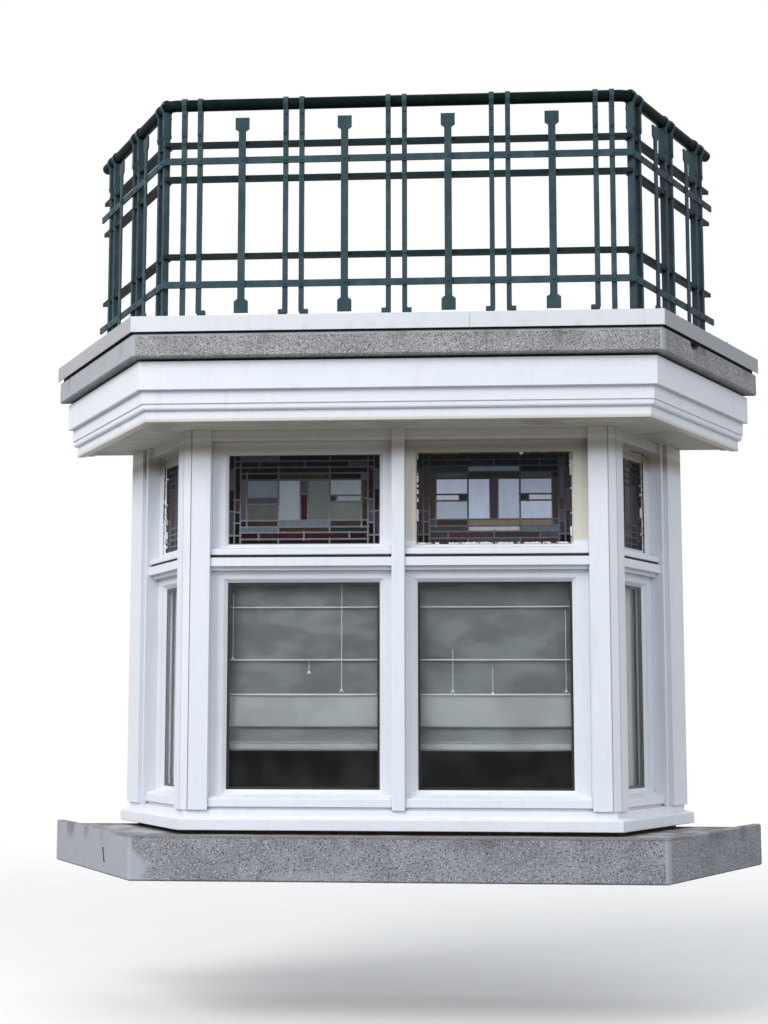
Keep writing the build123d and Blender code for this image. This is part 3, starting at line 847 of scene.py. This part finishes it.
front_strips = ((0.0, 0.038), (0.038, 0.078), (0.922, 0.962), (0.962, 1.0))
thirds = (0.078, 0.33, 0.67, 0.922)
quarters = (0.078, 0.20, 0.50, 0.80, 0.922)
framed_thirds = (0.078, 0.12, 0.33, 0.67, 0.88, 0.922)
front_rows = (thirds, quarters, thirds, framed_thirds, framed_thirds, thirds, quarters, thirds)

side_strips = ((0.0, 0.075), (0.075, 0.15), (0.85, 0.925), (0.925, 1.0))
side_thirds = (0.15, 0.38, 0.62, 0.85)
side_rows = (side_thirds,) * len(row_spans)


def leaded_pattern(strips, strip_tints, rows, row_tints, middle, rows_first):
    """Cells (low, high, top, bottom, tint): strips, the first rows, the middle panes, the other rows."""
    cells = []
    for (low, high), splits, tints in zip(strips, strip_splits, strip_tints):
        cells += [(low, high, top, bottom, tint) for top, bottom, tint in zip(splits, splits[1:], tints)]
    bands = [[(low, high, *span, tint) for low, high, tint in zip(splits, splits[1:], tints)]
             for span, splits, tints in zip(row_spans, rows, row_tints)]
    return cells + sum(bands[:rows_first], []) + middle + sum(bands[rows_first:], [])


def left_front_pattern():
    middle = [
        (0.078, 0.12, *middle_span, violet),
        (0.88, 0.922, 0.278, 0.49, brown), (0.88, 0.922, 0.49, 0.734, umber),
        (0.12, 0.33, 0.278, 0.477, slate), (0.12, 0.33, 0.477, 0.551, smoke),
        (0.12, 0.33, 0.551, 0.734, moss_pane),
        (0.67, 0.88, 0.278, 0.455, misty), (0.67, 0.88, 0.525, 0.734, leafy),
        (0.67, 0.715, 0.455, 0.525, teal), (0.715, 0.88, 0.455, 0.525, misty),
        (0.33, 0.475, *middle_span, misty), (0.525, 0.67, *middle_span, leafy),
        (0.475, 0.525, 0.278, 0.44, smoke), (0.475, 0.525, 0.44, 0.734, wine),
    ]
    strip_tints = (
        (night, violet, night, violet, night), (night, night, night, plum, night, night, night),
        (night, night, ember, violet, violet, night, night), (night, smoke, night, plum, night),
    )
    row_tints = (
        (violet, night, night), (night, night, night, plum), (night, night, night),
        (night, night, olive, night, violet), (night, umber, slate, umber, night), (slate, brown, teal),
        (ember, wine, wine, ember), (night, ember, night),
    )
    return leaded_pattern(front_strips, strip_tints, front_rows, row_tints, middle, 4)


def right_front_pattern():
    middle = [
        (0.078, 0.12, *middle_span, brown), (0.88, 0.922, *middle_span, brown),
        (0.12, 0.33, 0.278, 0.455, pale), (0.12, 0.33, 0.525, 0.734, pale),
        (0.67, 0.88, 0.278, 0.455, pale), (0.67, 0.88, 0.525, 0.734, pale),
        (0.12, 0.275, 0.455, 0.525, pearl), (0.275, 0.33, 0.455, 0.525, teal),
        (0.67, 0.725, 0.455, 0.525, teal), (0.725, 0.88, 0.455, 0.525, pearl),
        (0.33, 0.475, *middle_span, pale), (0.525, 0.67, *middle_span, pale),
        (0.475, 0.525, *middle_span, plum),
    ]
    strip_tints = (
        (night, plum, plum, plum, night), (night, night, plum, mauve, mauve, plum, night),
        (night, plum, violet, plum, violet, plum, night), (night, plum, violet, plum, night),
    )
    row_tints = (
        (soot, night, night), (ember, soot, night, night), (teal, slate, night),
        (plum, steel, olive, steel, soot), (smoke, brown, sandy, sandy, smoke), (steel, pearl, slate),
        (plum, mauve, plum, smoke), (plum, steel, mauve),
    )
    return leaded_pattern(front_strips, strip_tints, front_rows, row_tints, middle, 4)


def side_pattern():
    """The narrow panels: the same borders, and three dark upright panes."""
    middle = [(low, high, *middle_span, tint)
              for low, high, tint in zip(side_thirds, side_thirds[1:], (plum, smoke, plum))]
    strip_tints = (
        (night, plum, night, plum, night), (night, night, plum, night, plum, teal, night),
        (night, night, plum, plum, night, teal, night), (night, plum, night, plum, night),
    )
    row_tints = (
        (night, night, night), (night, plum, night), (night, teal, night), (night, smoke, night),
        (umber, teal, umber), (teal, smoke, night), (wine, night, wine), (night, night, night),
    )
    return leaded_pattern(side_strips, strip_tints, side_rows, row_tints, middle, len(row_spans))


def add_tinted_pane(shape, layer, side, start, end, bottom, top, tint, chance):
    lean = [chance.uniform(-1, 1) * most for most in pane_lean]
    faces = add_block(shape, side, start, end, pane_inner, pane_outer, bottom, top, lean)
    fade = chance.uniform(*pane_fade)
    red, green, blue, _ = paint(*tint)
    for face in faces:
        tint_face(face, layer, (red * fade, green * fade, blue * fade, 1))


def add_came(shape, side, start, end, across):
    """A lead strip with a crowned section; start and end are (along, level), across its wide direction."""
    middle = (leaded_outer + leaded_inner) / 2
    half_thick = (leaded_outer - leaded_inner) / 2
    rings = []
    for along, level in (start, end):
        ring = []
        for wide, thick in came_section:
            shift = wide * came_half
            out = middle + thick * half_thick
            spot = place(side, along + shift * across[0], out, level + shift * across[1])
            ring.append(shape.verts.new(spot))
        rings.append(ring)
    close_rings(shape, rings)


panel_spans = {
    "front_left": (-glass_outer_edge, -glass_inner_edge),
    "front_right": (glass_inner_edge, glass_outer_edge),
    "left": (side_glass_far, side_glass_near),
    "right": (side_glass_near, side_glass_far),
}


def panel_spot(panel, across, down):
    start, end = panel_spans[panel]
    return start + across * (end - start), leaded_top - down * (leaded_top - leaded_bottom)


def bay_side(panel):
    return "front" if panel.startswith("front") else panel


def came_runs(cells):
    """Each upright and level line of a pattern once, as the longest straight runs."""
    upright, level = {}, {}
    for low, high, top, bottom, _ in cells:
        for across in (low, high):
            upright.setdefault(round(across, 4), set()).add((top, bottom))
        for down in (top, bottom):
            level.setdefault(round(down, 4), set()).add((low, high))
    return joined(upright), joined(level)


def joined(lines):
    runs = []
    for place_on_line, pieces in lines.items():
        start, end = None, None
        for low, high in sorted(pieces):
            if end is not None and low <= end + 1e-6:
                end = max(end, high)
                continue
            if end is not None:
                runs.append((place_on_line, start, end))
            start, end = low, high
        runs.append((place_on_line, start, end))
    return runs


def make_leaded_panels():
    """Makes the panes and the lead, and gives the places where the lead is soldered."""
    chance = random.Random(pane_seed)
    patterns = {"front_left": left_front_pattern(), "front_right": right_front_pattern(),
                "left": side_pattern(), "right": side_pattern()}
    glass = bmesh.new()
    tint_layer = glass.loops.layers.float_color.new("tint")
    lead = bmesh.new()
    joints = []
    for panel, cells in patterns.items():
        side = bay_side(panel)
        for low, high, top, bottom, tint in cells:
            start, upper = panel_spot(panel, low, top)
            end, lower = panel_spot(panel, high, bottom)
            add_tinted_pane(glass, tint_layer, side, start, end, lower, upper, tint, chance)
            for across, down in ((low, top), (high, top), (low, bottom), (high, bottom)):
                if 0 < across < 1 and 0 < down < 1:
                    along, level = panel_spot(panel, across, down)
                    joints.append((side, round(along, 4), round(level, 4)))
        upright, level_runs = came_runs(cells)
        for across, top, bottom in upright:
            add_came(lead, side, panel_spot(panel, across, top), panel_spot(panel, across, bottom), (1, 0))
        for down, low, high in level_runs:
            add_came(lead, side, panel_spot(panel, low, down), panel_spot(panel, high, down), (0, 1))
    add_shape("stained_panes", glass, "stained_glass", "leaded_glass")
    add_shape("lead_cames", lead, "lead_came", "leaded_glass", came_smooth_angle)
    return sorted(set(joints))


# Old putty round the stained glass, partly fallen out, and cracks in the sashes' paint

putty_step = 0.004
putty_overlap = 0.0035
putty_sink = 0.0005
putty_lip = 0.0008
putty_change = 0.25
putty_seed = 21
sound_reach = (0.002, 0.006)
sound_thickness = (0.003, 0.006)
fallen_reach = (0.0005, 0.0035)
fallen_thickness = (0.0005, 0.0020)
sound_putty = (216, 218, 221)
dirty_putty = (168, 164, 154)
bare_rebate = (30, 26, 22)
crust = (74, 60, 44)


def putty_runs():
    """(side, fixed place, start, end, upright, way to the glass, share still sound)."""
    low, high = glass_inner_edge, glass_outer_edge
    return (
        ("front", low, leaded_bottom, leaded_top, True, 1, 0.45),
        ("front", high, leaded_bottom, leaded_top, True, -1, 0.40),
        ("front", leaded_top, low, high, False, -1, 0.15),
        ("front", leaded_bottom, low, high, False, 1, 0.80),
        ("left", side_glass_far, leaded_bottom, leaded_top, True, -1, 0.25),
        ("right", side_glass_far, leaded_bottom, leaded_top, True, -1, 0.20),
        ("right", leaded_top, side_glass_near, side_glass_far, False, -1, 0.10),
    )


def putty_tint(chance, sound):
    if chance.random() < sound:
        return chance.choice((sound_putty, sound_putty, dirty_putty))
    return chance.choice((bare_rebate, bare_rebate, crust))


crack_out = -0.0552
crack_thickness = 0.004
crack_step = 0.006
crack_wander = 0.0016
crack_halves = (0.0008, 0.0032)
crack_runs = (
    # (side, (along, level) of its first end, and of its last)
    ("left", (0.4255, 1.330), (0.4215, 1.752)),
    ("left", (0.4310, 1.470), (0.4225, 1.640)),
    ("right", (0.4205, 1.300), (0.4180, 1.757)),
    ("right", (0.2950, 1.752), (0.4180, 1.757)),
    ("right", (0.4180, 1.757), (0.4720, 1.745)),
)


def add_crack(shape, layer, side, first, last, chance):
    """A dark ragged split in the paint, a hair proud of the sash's face."""
    run = Vector((last[0] - first[0], last[1] - first[1]))
    count = max(3, round(run.length / crack_step))
    sideways = Vector((-run.y, run.x)).normalized()
    crack_in = crack_out - crack_thickness
    rings = []
    for index in range(count + 1):
        wander = chance.uniform(-crack_wander, crack_wander)
        middle = Vector(first) + run * index / count + sideways * wander
        half = chance.uniform(*crack_halves)
        ring = []
        for shift, out in ((-half, crack_out), (half, crack_out), (half, crack_in), (-half, crack_in)):
            along, level = middle + sideways * shift
            ring.append(shape.verts.new(place(side, along, out, level)))
        rings.append(ring)
    tints = [paint(*chance.choice((bare_rebate, bare_rebate, crust))) for _ in rings[1:]]
    close_rings(shape, rings, layer, tints, (paint(*bare_rebate), paint(*bare_rebate)))


def add_putty(shape, layer, side, fixed, start, end, upright, way, sound, chance):
    """One strip of putty, its section changing where some of it has fallen out."""
    count = max(2, round((end - start) / putty_step))
    back = leaded_outer - putty_sink
    rings, tints = [], []
    tint = putty_tint(chance, sound)
    for index in range(count + 1):
        if chance.random() < putty_change:
            tint = putty_tint(chance, sound)
        fallen = tint in (bare_rebate, crust)
        reach = chance.uniform(*(fallen_reach if fallen else sound_reach))
        face = leaded_outer + chance.uniform(*(fallen_thickness if fallen else sound_thickness))
        run = start + (end - start) * index / count
        section = ((-putty_overlap, face + putty_overlap), (0.0, face), (reach, leaded_outer + putty_lip),
                   (reach, back), (-putty_overlap, back))
        ring = []
        for shift, out in section:
            across = fixed + way * shift
            along, level = (across, run) if upright else (run, across)
            ring.append(shape.verts.new(place(side, along, out, level)))
        rings.append(ring)
        tints.append(paint(*tint))
    close_rings(shape, rings, layer, tints, (tints[0], tints[-1]))


def make_putty_strips():
    chance = random.Random(putty_seed)
    shape = bmesh.new()
    layer = shape.loops.layers.float_color.new("tint")
    for run in putty_runs():
        add_putty(shape, layer, *run, chance)
    for run in crack_runs:
        add_crack(shape, layer, *run, chance)
    add_shape("putty_strips", shape, "old_putty")


make_putty_strips()


# Round heads: rivets on the railing and solder on the lead, by Geometry Nodes

def heads_tree(name, material):
    group = bpy.data.node_groups.new(name, "GeometryNodeTree")
    group.interface.new_socket("Points", in_out="INPUT", socket_type="NodeSocketGeometry")
    for label in ("Head radius", "Head height", "Size change"):
        group.interface.new_socket(label, in_out="INPUT", socket_type="NodeSocketFloat")
    group.interface.new_socket("Heads", in_out="OUTPUT", socket_type="NodeSocketGeometry")
    tree = Tree(group)
    given = tree.node("NodeGroupInput").outputs
    radius, rise, change = given["Head radius"], given["Head height"], given["Size change"]
    ball = tree.fed("GeometryNodeMeshUVSphere", {"Segments": 10, "Rings": 6, "Radius": 1})
    size = tree.fed("ShaderNodeCombineXYZ", {"X": radius, "Y": radius, "Z": rise})
    limits = {2: tree.minus(1, change), 3: tree.plus(1, change), "Seed": 11}
    factor = tree.fed("FunctionNodeRandomValue", limits, data_type="FLOAT").outputs[1]
    scaled = tree.fed("ShaderNodeVectorMath", {0: size.outputs[0], "Scale": factor}, operation="SCALE")
    way = tree.fed("GeometryNodeInputNamedAttribute", {"Name": "outward"}, data_type="FLOAT_VECTOR")
    turn = tree.fed("FunctionNodeAlignRotationToVector", {"Vector": way.outputs[0]}, axis="Z")
    heads = tree.fed("GeometryNodeInstanceOnPoints", {
        "Points": given["Points"], "Instance": ball.outputs["Mesh"],
        "Rotation": turn.outputs["Rotation"], "Scale": scaled.outputs[0],
    })
    real = tree.fed("GeometryNodeRealizeInstances", {0: heads.outputs[0]})
    coated = tree.fed("GeometryNodeSetMaterial", {"Geometry": real.outputs[0], "Material": material})
    tree.fed("NodeGroupOutput", {0: coated.outputs[0]})
    return group


def make_heads(name, spots, radius, rise, change, finish_name, slot_name):
    """Heads at (point, outward direction) spots, as one plain mesh; their sizes differ by change."""
    points = bpy.data.meshes.new(f"{name}_points")
    points.from_pydata([spot for spot, way in spots], [], [])
    attribute = points.attributes.new("outward", "FLOAT_VECTOR", "POINT")
    attribute.data.foreach_set("vector", [value for spot, way in spots for value in way])
    carrier = bpy.data.objects.new(f"{name}_points", points)
    blender_scene.collection.objects.link(carrier)
    tree = heads_tree(f"{name}_tree", finishes[finish_name])
    modifier = carrier.modifiers.new("heads", "NODES")
    modifier.node_group = tree
    sizes = {"Head radius": radius, "Head height": rise, "Size change": change}
    for socket in tree.interface.items_tree:
        if socket.in_out == "INPUT" and socket.name in sizes:
            modifier[socket.identifier] = sizes[socket.name]
    evaluated = carrier.evaluated_get(bpy.context.evaluated_depsgraph_get())
    mesh = bpy.data.meshes.new_from_object(evaluated)
    mesh.name = name
    mesh.shade_smooth()
    carrier.modifiers.remove(modifier)
    bpy.data.objects.remove(carrier)
    add_piece(name, mesh, None)


def railing_along(side, run):
    """The railing's own runs start at its corner on the sides, and at the middle of the front."""
    return run if side == "front" else run - bar_outer * math.tan(half_turn)


def both_heads(side, along, level, front, back):
    """The heads of one rivet or joint, at its front and at its back."""
    way = outward(side)
    return [(place(side, along, front, level), way), (place(side, along, back, level), -way)]


def railing_rivet_spots():
    spots = []
    strap_outer = bar_outer + strap_thickness
    strap_inner = bar_inner - strap_thickness
    for side, pairs in railing_pairs.items():
        for bar in [pair + hand * bar_half_pair for pair in pairs for hand in (-1, 1)]:
            along = railing_along(side, bar)
            for middle in square_rail_middles:
                spots += both_heads(side, along, capping_top_level + middle, bar_outer, square_rail_back)
            for middle in flat_rail_middles:
                spots += both_heads(side, along, capping_top_level + middle, flat_rail_outer, bar_inner)
            for drop in strap_rivet_drops:
                spots += both_heads(side, along, tube_level - tube_radius - drop, strap_outer, strap_inner)
        for paddle in between(pairs):
            along = railing_along(side, paddle)
            for middle in flat_rail_middles:
                spots += both_heads(side, along, capping_top_level + middle, paddle_outer, bar_outer)
    return spots


solder_sink = 0.0004
solder_head = (0.0056, 0.0007, 0.25)
rivet_head = (0.0075, 0.0042, 0.08)


def make_solder(joints):
    spots = []
    for side, along, level in joints:
        spots += both_heads(side, along, level, leaded_outer - solder_sink, leaded_inner + solder_sink)
    make_heads("solder_joints", spots, *solder_head, "lead_came", "leaded_glass")


make_solder(make_leaded_panels())
make_heads("railing_rivets", railing_rivet_spots(), *rivet_head, "railing_paint", "railing_paint")


# Double glazing: two panes with a metal bar round their edge

pane_thickness = 0.004
spacer_width = 0.010


def make_double_glazing():
    panes = bmesh.new()
    bars = bmesh.new()
    inner = double_inner + pane_thickness
    outer = double_outer - pane_thickness
    bar_levels = ((double_bottom, double_bottom + spacer_width), (double_top - spacer_width, double_top))
    for panel, span in panel_spans.items():
        side = bay_side(panel)
        start, end = sorted(span)
        for face in (double_outer, inner):
            add_block(panes, side, start, end, face - pane_thickness, face, double_bottom, double_top)
        for low, high in ((start, start + spacer_width), (end - spacer_width, end)):
            add_block(bars, side, low, high, inner, outer, double_bottom, double_top)
        for low, high in bar_levels:
            add_block(bars, side, start + spacer_width, end - spacer_width, inner, outer, low, high)
    add_shape("double_panes", panes, "clear_glass", "double_glass")
    add_shape("spacer_bars", bars, "spacer_metal", "double_glass")


make_double_glazing()


# Black seals in the gaps under the upper sashes, which also serve as painted shade there, and white beads
# in those under the lower ones

upper_gap = (1.2792, 1.2908)
lower_gap = (0.2572, 0.2678)
seal_depths = (-0.050, -0.026)
bead_depths = (-0.045, -0.022)
light_reach = {"front_left": (-0.772, -0.029), "front_right": (0.029, 0.772), "left": (0.089, 0.483),
               "right": (0.089, 0.483)}


def make_gap_strips(name, gap, depths, finish_name):
    shape = bmesh.new()
    for panel, (start, end) in light_reach.items():
        add_block(shape, bay_side(panel), start, end, *depths, *gap)
    add_shape(name, shape, finish_name)


make_gap_strips("gap_shade_seals", upper_gap, seal_depths, "rubber_and_gap_shade")
make_gap_strips("sill_beads", lower_gap, bead_depths, "white_timber")


# Blinds and curtains

def soft_value(before, start, end, after, part):
    """One coordinate, part of the way from start to end on a soft curve through all four."""
    bend = 2 * before - 5 * start + 4 * end - after
    twist = 3 * start - before - 3 * end + after
    return 0.5 * (2 * start + (end - before) * part + bend * part ** 2 + twist * part ** 3)


def smooth_line(points, steps):
    """Points along a soft curve through the given points."""
    padded = [points[0], *points, points[-1]]
    result = []
    for four in zip(padded, padded[1:], padded[2:], padded[3:]):
        for index in range(steps):
            result.append(tuple(soft_value(*values, index / steps) for values in zip(*four)))
    return result + [points[-1]]


def distances(points):
    """How far along their line the points are."""
    travelled = [0.0]
    for before, after in zip(points, points[1:]):
        travelled.append(travelled[-1] + math.dist(before, after))
    return travelled


def cloth_mesh(name, rows, spots):
    """A grid of points with the cloth's own width and length as its UV map, in metres."""
    shape = bmesh.new()
    grid = [[shape.verts.new(point) for point in line] for line in rows]
    layer = shape.loops.layers.uv.new("cloth")
    for row in range(len(rows) - 1):
        for column in range(len(rows[0]) - 1):
            corners = ((row, column), (row, column + 1), (row + 1, column + 1), (row + 1, column))
            face = shape.faces.new([grid[down][over] for down, over in corners])
            for loop, (down, over) in zip(face.loops, corners):
                loop[layer].uv = spots[down][over]
    mesh = bake(name, shape)
    mesh.shade_smooth()
    return mesh


def thicken(piece, thickness):
    modifier = piece.modifiers.new("thickness", "SOLIDIFY")
    modifier.thickness = thickness
    modifier.offset = 0
    evaluated = piece.evaluated_get(bpy.context.evaluated_depsgraph_get())
    mesh = bpy.data.meshes.new_from_object(evaluated)
    piece.modifiers.remove(modifier)
    piece.data = mesh
    mesh.shade_smooth()


def add_cloth(name, mesh, cloth, thickness, node):
    """A cloth piece in place of a CAD node; cloth names its finish and its slot."""
    piece = add_piece(name, mesh, cloth)
    thicken(piece, thickness)
    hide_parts(node)
    return piece


cloth_inset = 0.002
blind_outer = -0.1105
blind_profile = [
    # (depth behind the front limit, part Z)
    (0.017, 1.150), (0.016, 1.075), (0.015, 1.004), (0.004, 0.998), (0.004, 0.991), (0.014, 0.986),
    (0.011, 0.90), (0.012, 0.84), (0.014, 0.784), (0.003, 0.779), (0.003, 0.773), (0.013, 0.768),
    (0.010, 0.70), (0.012, 0.643), (0.002, 0.638), (0.002, 0.631), (0.008, 0.624),
    (0.004, 0.57), (0.003, 0.520), (0.006, 0.503), (0.016, 0.508), (0.014, 0.53), (0.020, 0.545),
    (0.024, 0.53), (0.018, 0.47), (0.014, 0.440), (0.018, 0.436), (0.012, 0.430), (0.010, 0.414),
    (0.016, 0.409), (0.026, 0.414), (0.027, 0.50),
]
blind_columns = 44
blind_thickness = 0.0008
blind_tilt = 0.0012
blind_sag = -0.0022
broad_swell = 0.0010
small_swell = 0.0005
hung_below = 1.12
folds_top = 0.66

cord_radius = 0.0009
cord_depth = 0.1095
cord_sway = 0.0006
cord_stretches = 6
knot_radius = 0.0022
knot_and_ends = (
    # (first shift, first rise, last shift, last rise, radius), from the knot's middle
    (-0.0035, 0.003, 0.0035, -0.004, knot_radius),
    (0.0035, 0.003, -0.0035, -0.004, knot_radius),
    (0.001, 0.0, 0.011, -0.011, cord_radius),
    (-0.001, 0.0, -0.010, -0.009, cord_radius),
)


def add_rod(shape, first, last, radius, sides=6):
    turn = (last - first).to_track_quat("Z", "Y").to_matrix()
    angles = [2 * math.pi * index / sides for index in range(sides)]
    section = [turn @ Vector((radius * math.cos(angle), radius * math.sin(angle), 0)) for angle in angles]
    close_rings(shape, [[shape.verts.new(point + corner) for corner in section] for point in (first, last)])


def cord_spot(along, up):
    return place("front", along, -cord_depth, up + slab_drop)


def make_lift_cords(name, node, cords):
    """Cords down a blind's front, each with a knot and two loose ends; cords are (along, top Z, knot Z)."""
    shape = bmesh.new()
    for along, top, knot in cords:
        spots = [cord_spot(along + cord_sway * (index % 2), top + (knot - top) * index / cord_stretches)
                 for index in range(cord_stretches + 1)]
        for upper, lower in zip(spots, spots[1:]):
            add_rod(shape, upper, lower, cord_radius)
        for first_shift, first_rise, last_shift, last_rise, radius in knot_and_ends:
            add_rod(shape, cord_spot(along + first_shift, knot + first_rise),
                    cord_spot(along + last_shift, knot + last_rise), radius)
    return add_shape(name, shape, "cord", node)


def blind_shift(part, up, tilt):
    """How far the cloth swells out, and how far it hangs down, at a share of its width and a height."""
    swell = math.sin(part * math.pi * 3 + 0.6) * broad_swell + math.sin(part * 23 + up * 31) * small_swell
    sag = blind_sag * math.sin(part * math.pi) * (1 if up < folds_top else 0.4) + tilt * (part - 0.5)
    fall = sag * min(1, (hung_below - up) / 0.3) if up < hung_below else 0
    return swell, fall


def make_blind(side, seed, cords):
    """The blind over one half of the front, with its cords; its folds rest on the transom."""
    node = f"roman_blind_{side}"
    lowest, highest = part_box(node)
    start, end = lowest.x + cloth_inset, highest.x - cloth_inset
    profile = smooth_line(blind_profile, 5)
    travelled = distances(profile)
    tilt = random.Random(seed).uniform(-blind_tilt, blind_tilt)
    parts = [column / blind_columns for column in range(blind_columns + 1)]
    rows = []
    for depth, up in profile:
        line = []
        for part in parts:
            swell, fall = blind_shift(part, up, tilt)
            out = min(blind_outer - depth + swell * min(1.0, depth / 0.006), blind_outer)
            line.append(place("front", start + part * (end - start), out, up + slab_drop + fall))
        rows.append(line)
    spots = [[(part * (end - start), distance) for part in parts] for distance in travelled]
    name = f"{side}_blind"
    piece = add_cloth(name, cloth_mesh(name, rows, spots), "blind_cloth", blind_thickness, node)
    lines = make_lift_cords(f"{name}_cords", node, cords)


curtain_depth = 0.031
curtain_wave = 0.043
curtain_levels = 40
curtain_thickness = 0.0009
curtain_gap = 0.001
curtain_inset = 0.004
pleat_near = 0.010
pleat_far = 0.020
pleat_change = 0.004
pleat_end = 0.015
pleat_lengths = (0.75, 1.3)


def curtain_plan(start, end, chance):
    """The gathered cloth seen from above: (along, depth) points with uneven pleats."""
    points = []
    along = start
    near = True
    while along < end:
        points.append((along, pleat_near if near else pleat_far - chance.uniform(0, pleat_change)))
        along += curtain_wave / 2 * chance.uniform(*pleat_lengths)
        near = not near
    points.append((end, pleat_end))
    return smooth_line(points, 6)


def curtain_reach(side):
    """The run along its side that the curtain's CAD solid takes, from its mesh."""
    runs = []
    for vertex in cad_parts[f"side_curtain_{side}"].data.vertices:
        east = hands[side] * vertex.co.x - half_front
        north = vertex.co.y + frame_face
        runs.append(east * math.sin(half_turn) + north * math.cos(half_turn))
    return min(runs) + curtain_inset, max(runs) - curtain_inset


def make_side_curtain(side, seed):
    node = f"side_curtain_{side}"
    lowest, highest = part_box(node)
    bottom, top = lowest.z + cloth_inset, highest.z - cloth_inset
    plan = curtain_plan(*curtain_reach(side), random.Random(seed))
    travelled = distances(plan)
    centre = curtain_depth / 2
    rows, spots = [], []
    for index in range(curtain_levels + 1):
        part = index / curtain_levels
        line = []
        for along, depth in plan:
            flare = 1 - 0.25 * math.sin(part * math.pi * 0.9 + along * 5)
            pulled = centre + (depth - centre) * flare
            up = top + (bottom - top) * part
            line.append(place(side, along, blind_outer + curtain_gap - pulled, up + slab_drop))
        rows.append(line)
        spots.append([(distance, part * (top - bottom)) for distance in travelled])
    mesh = cloth_mesh(node + "_cloth", rows, spots)
    piece = add_cloth(f"{side}_curtain", mesh, "curtain_cloth", curtain_thickness, node)


make_blind("left", 5, ((-0.2376, 1.085, 0.652), (-0.3724, 0.776, 0.726), (-0.689, 1.050, 0.784)))
make_blind("right", 6, ((0.219, 0.816, 0.649), (0.680, 0.979, 0.649), (0.382, 0.744, 0.641)))
make_side_curtain("left", 3)
make_side_curtain("right", 4)


# Floor, backdrop and light

floor_level = -0.65
floor_reach = 60
room_half_width = 1.15
room_place = 0.06
room_height = 1.8


def add_card(name, corners, material):
    """A flat four-cornered sheet for the studio, which is no piece of the part."""
    mesh = bpy.data.meshes.new(name)
    mesh.from_pydata(corners, [], [(0, 1, 2, 3)])
    mesh.materials.append(material)
    card = bpy.data.objects.new(name, mesh)
    blender_scene.collection.objects.link(card)
    return card


def make_floor():
    finish = Finish("studio_floor")
    squares = [finish.sums("POWER", way, 2.0) for way in (finish.east, finish.plus(finish.south, 0.4))]
    away = finish.sums("POWER", finish.plus(*squares), 0.5)
    fade = finish.step(away, 2.0, 9.0)
    pale = finish.surface(finish.blend(finish.noise(3, 4), (233, 233, 232), (238, 238, 237)), 0.9)
    dim = finish.surface((112, 112, 110), 0.9)
    glow = finish.fed("ShaderNodeEmission", {"Color": (1, 1, 1, 1), "Strength": 1}).outputs[0]
    seen = finish.seen_directly()
    material = finish.close(finish.mixed(finish.times(seen, fade), finish.mixed(seen, dim, pale), glow))
    corners = [(east * floor_reach, north * floor_reach, floor_level)
               for east, north in ((-1, -1), (1, -1), (1, 1), (-1, 1))]
    add_card("studio_floor", corners, material)


def make_dark_room():
    """A dark card behind the opening that only shows through the glass, as an unlit room does."""
    finish = Finish("dark_card")
    finish.colour = finish.blend(finish.noise(2, 3), (16, 16, 18), (30, 30, 32))
    material = finish.close(finish.surface(finish.colour, 0.9))
    corners = [(east * room_half_width, room_place, level)
               for east, level in ((-1, 0.0), (1, 0.0), (1, room_height), (-1, room_height))]
    card = add_card("dark_card", corners, material)
    card.visible_camera = False
    card.visible_glossy = False


def make_world():
    """White where the camera looks straight at it, and a sky that is brighter overhead for the light."""
    world = bpy.data.worlds.new("studio_world")
    blender_scene.world = world
    world.use_nodes = True
    tree = Tree(world.node_tree)
    seen = tree.seen_directly()
    way = tree.node("ShaderNodeTexCoord").outputs["Generated"]
    up = tree.fed("ShaderNodeSeparateXYZ", {0: way}).outputs["Z"]
    limits = {"Value": up, "From Min": -0.15, "From Max": 0.75, "To Min": 0.24, "To Max": 0.95}
    strength = tree.fed("ShaderNodeMapRange", limits).outputs["Result"]
    sky = tree.fed("ShaderNodeBackground", {"Color": (0.93, 0.96, 1.0, 1), "Strength": strength}).outputs[0]
    white = tree.fed("ShaderNodeBackground", {"Color": (1, 1, 1, 1), "Strength": 1}).outputs[0]
    tree.fed("ShaderNodeOutputWorld", {"Surface": tree.mixed(seen, sky, white)})


lamp_aim = Vector((0, -0.4, 1.2))
lamp_size = 6.0


def make_lamp(name, spot, power, colour):
    data = bpy.data.lights.new(name, "AREA")
    data.shape = "SQUARE"
    data.size = lamp_size
    data.energy = power
    data.color = colour
    lamp = bpy.data.objects.new(name, data)
    lamp.location = spot
    lamp.rotation_euler = (lamp_aim - Vector(spot)).to_track_quat("-Z", "Y").to_euler()
    blender_scene.collection.objects.link(lamp)


make_floor()
make_dark_room()
make_world()
make_lamp("key_lamp", (-6.0, -7.2, 7.0), 870, (1.0, 0.99, 0.98))
make_lamp("fill_lamp", (5.0, -7.0, 4.0), 190, (0.95, 0.97, 1.0))

blender_scene.view_settings.view_transform = "Standard"
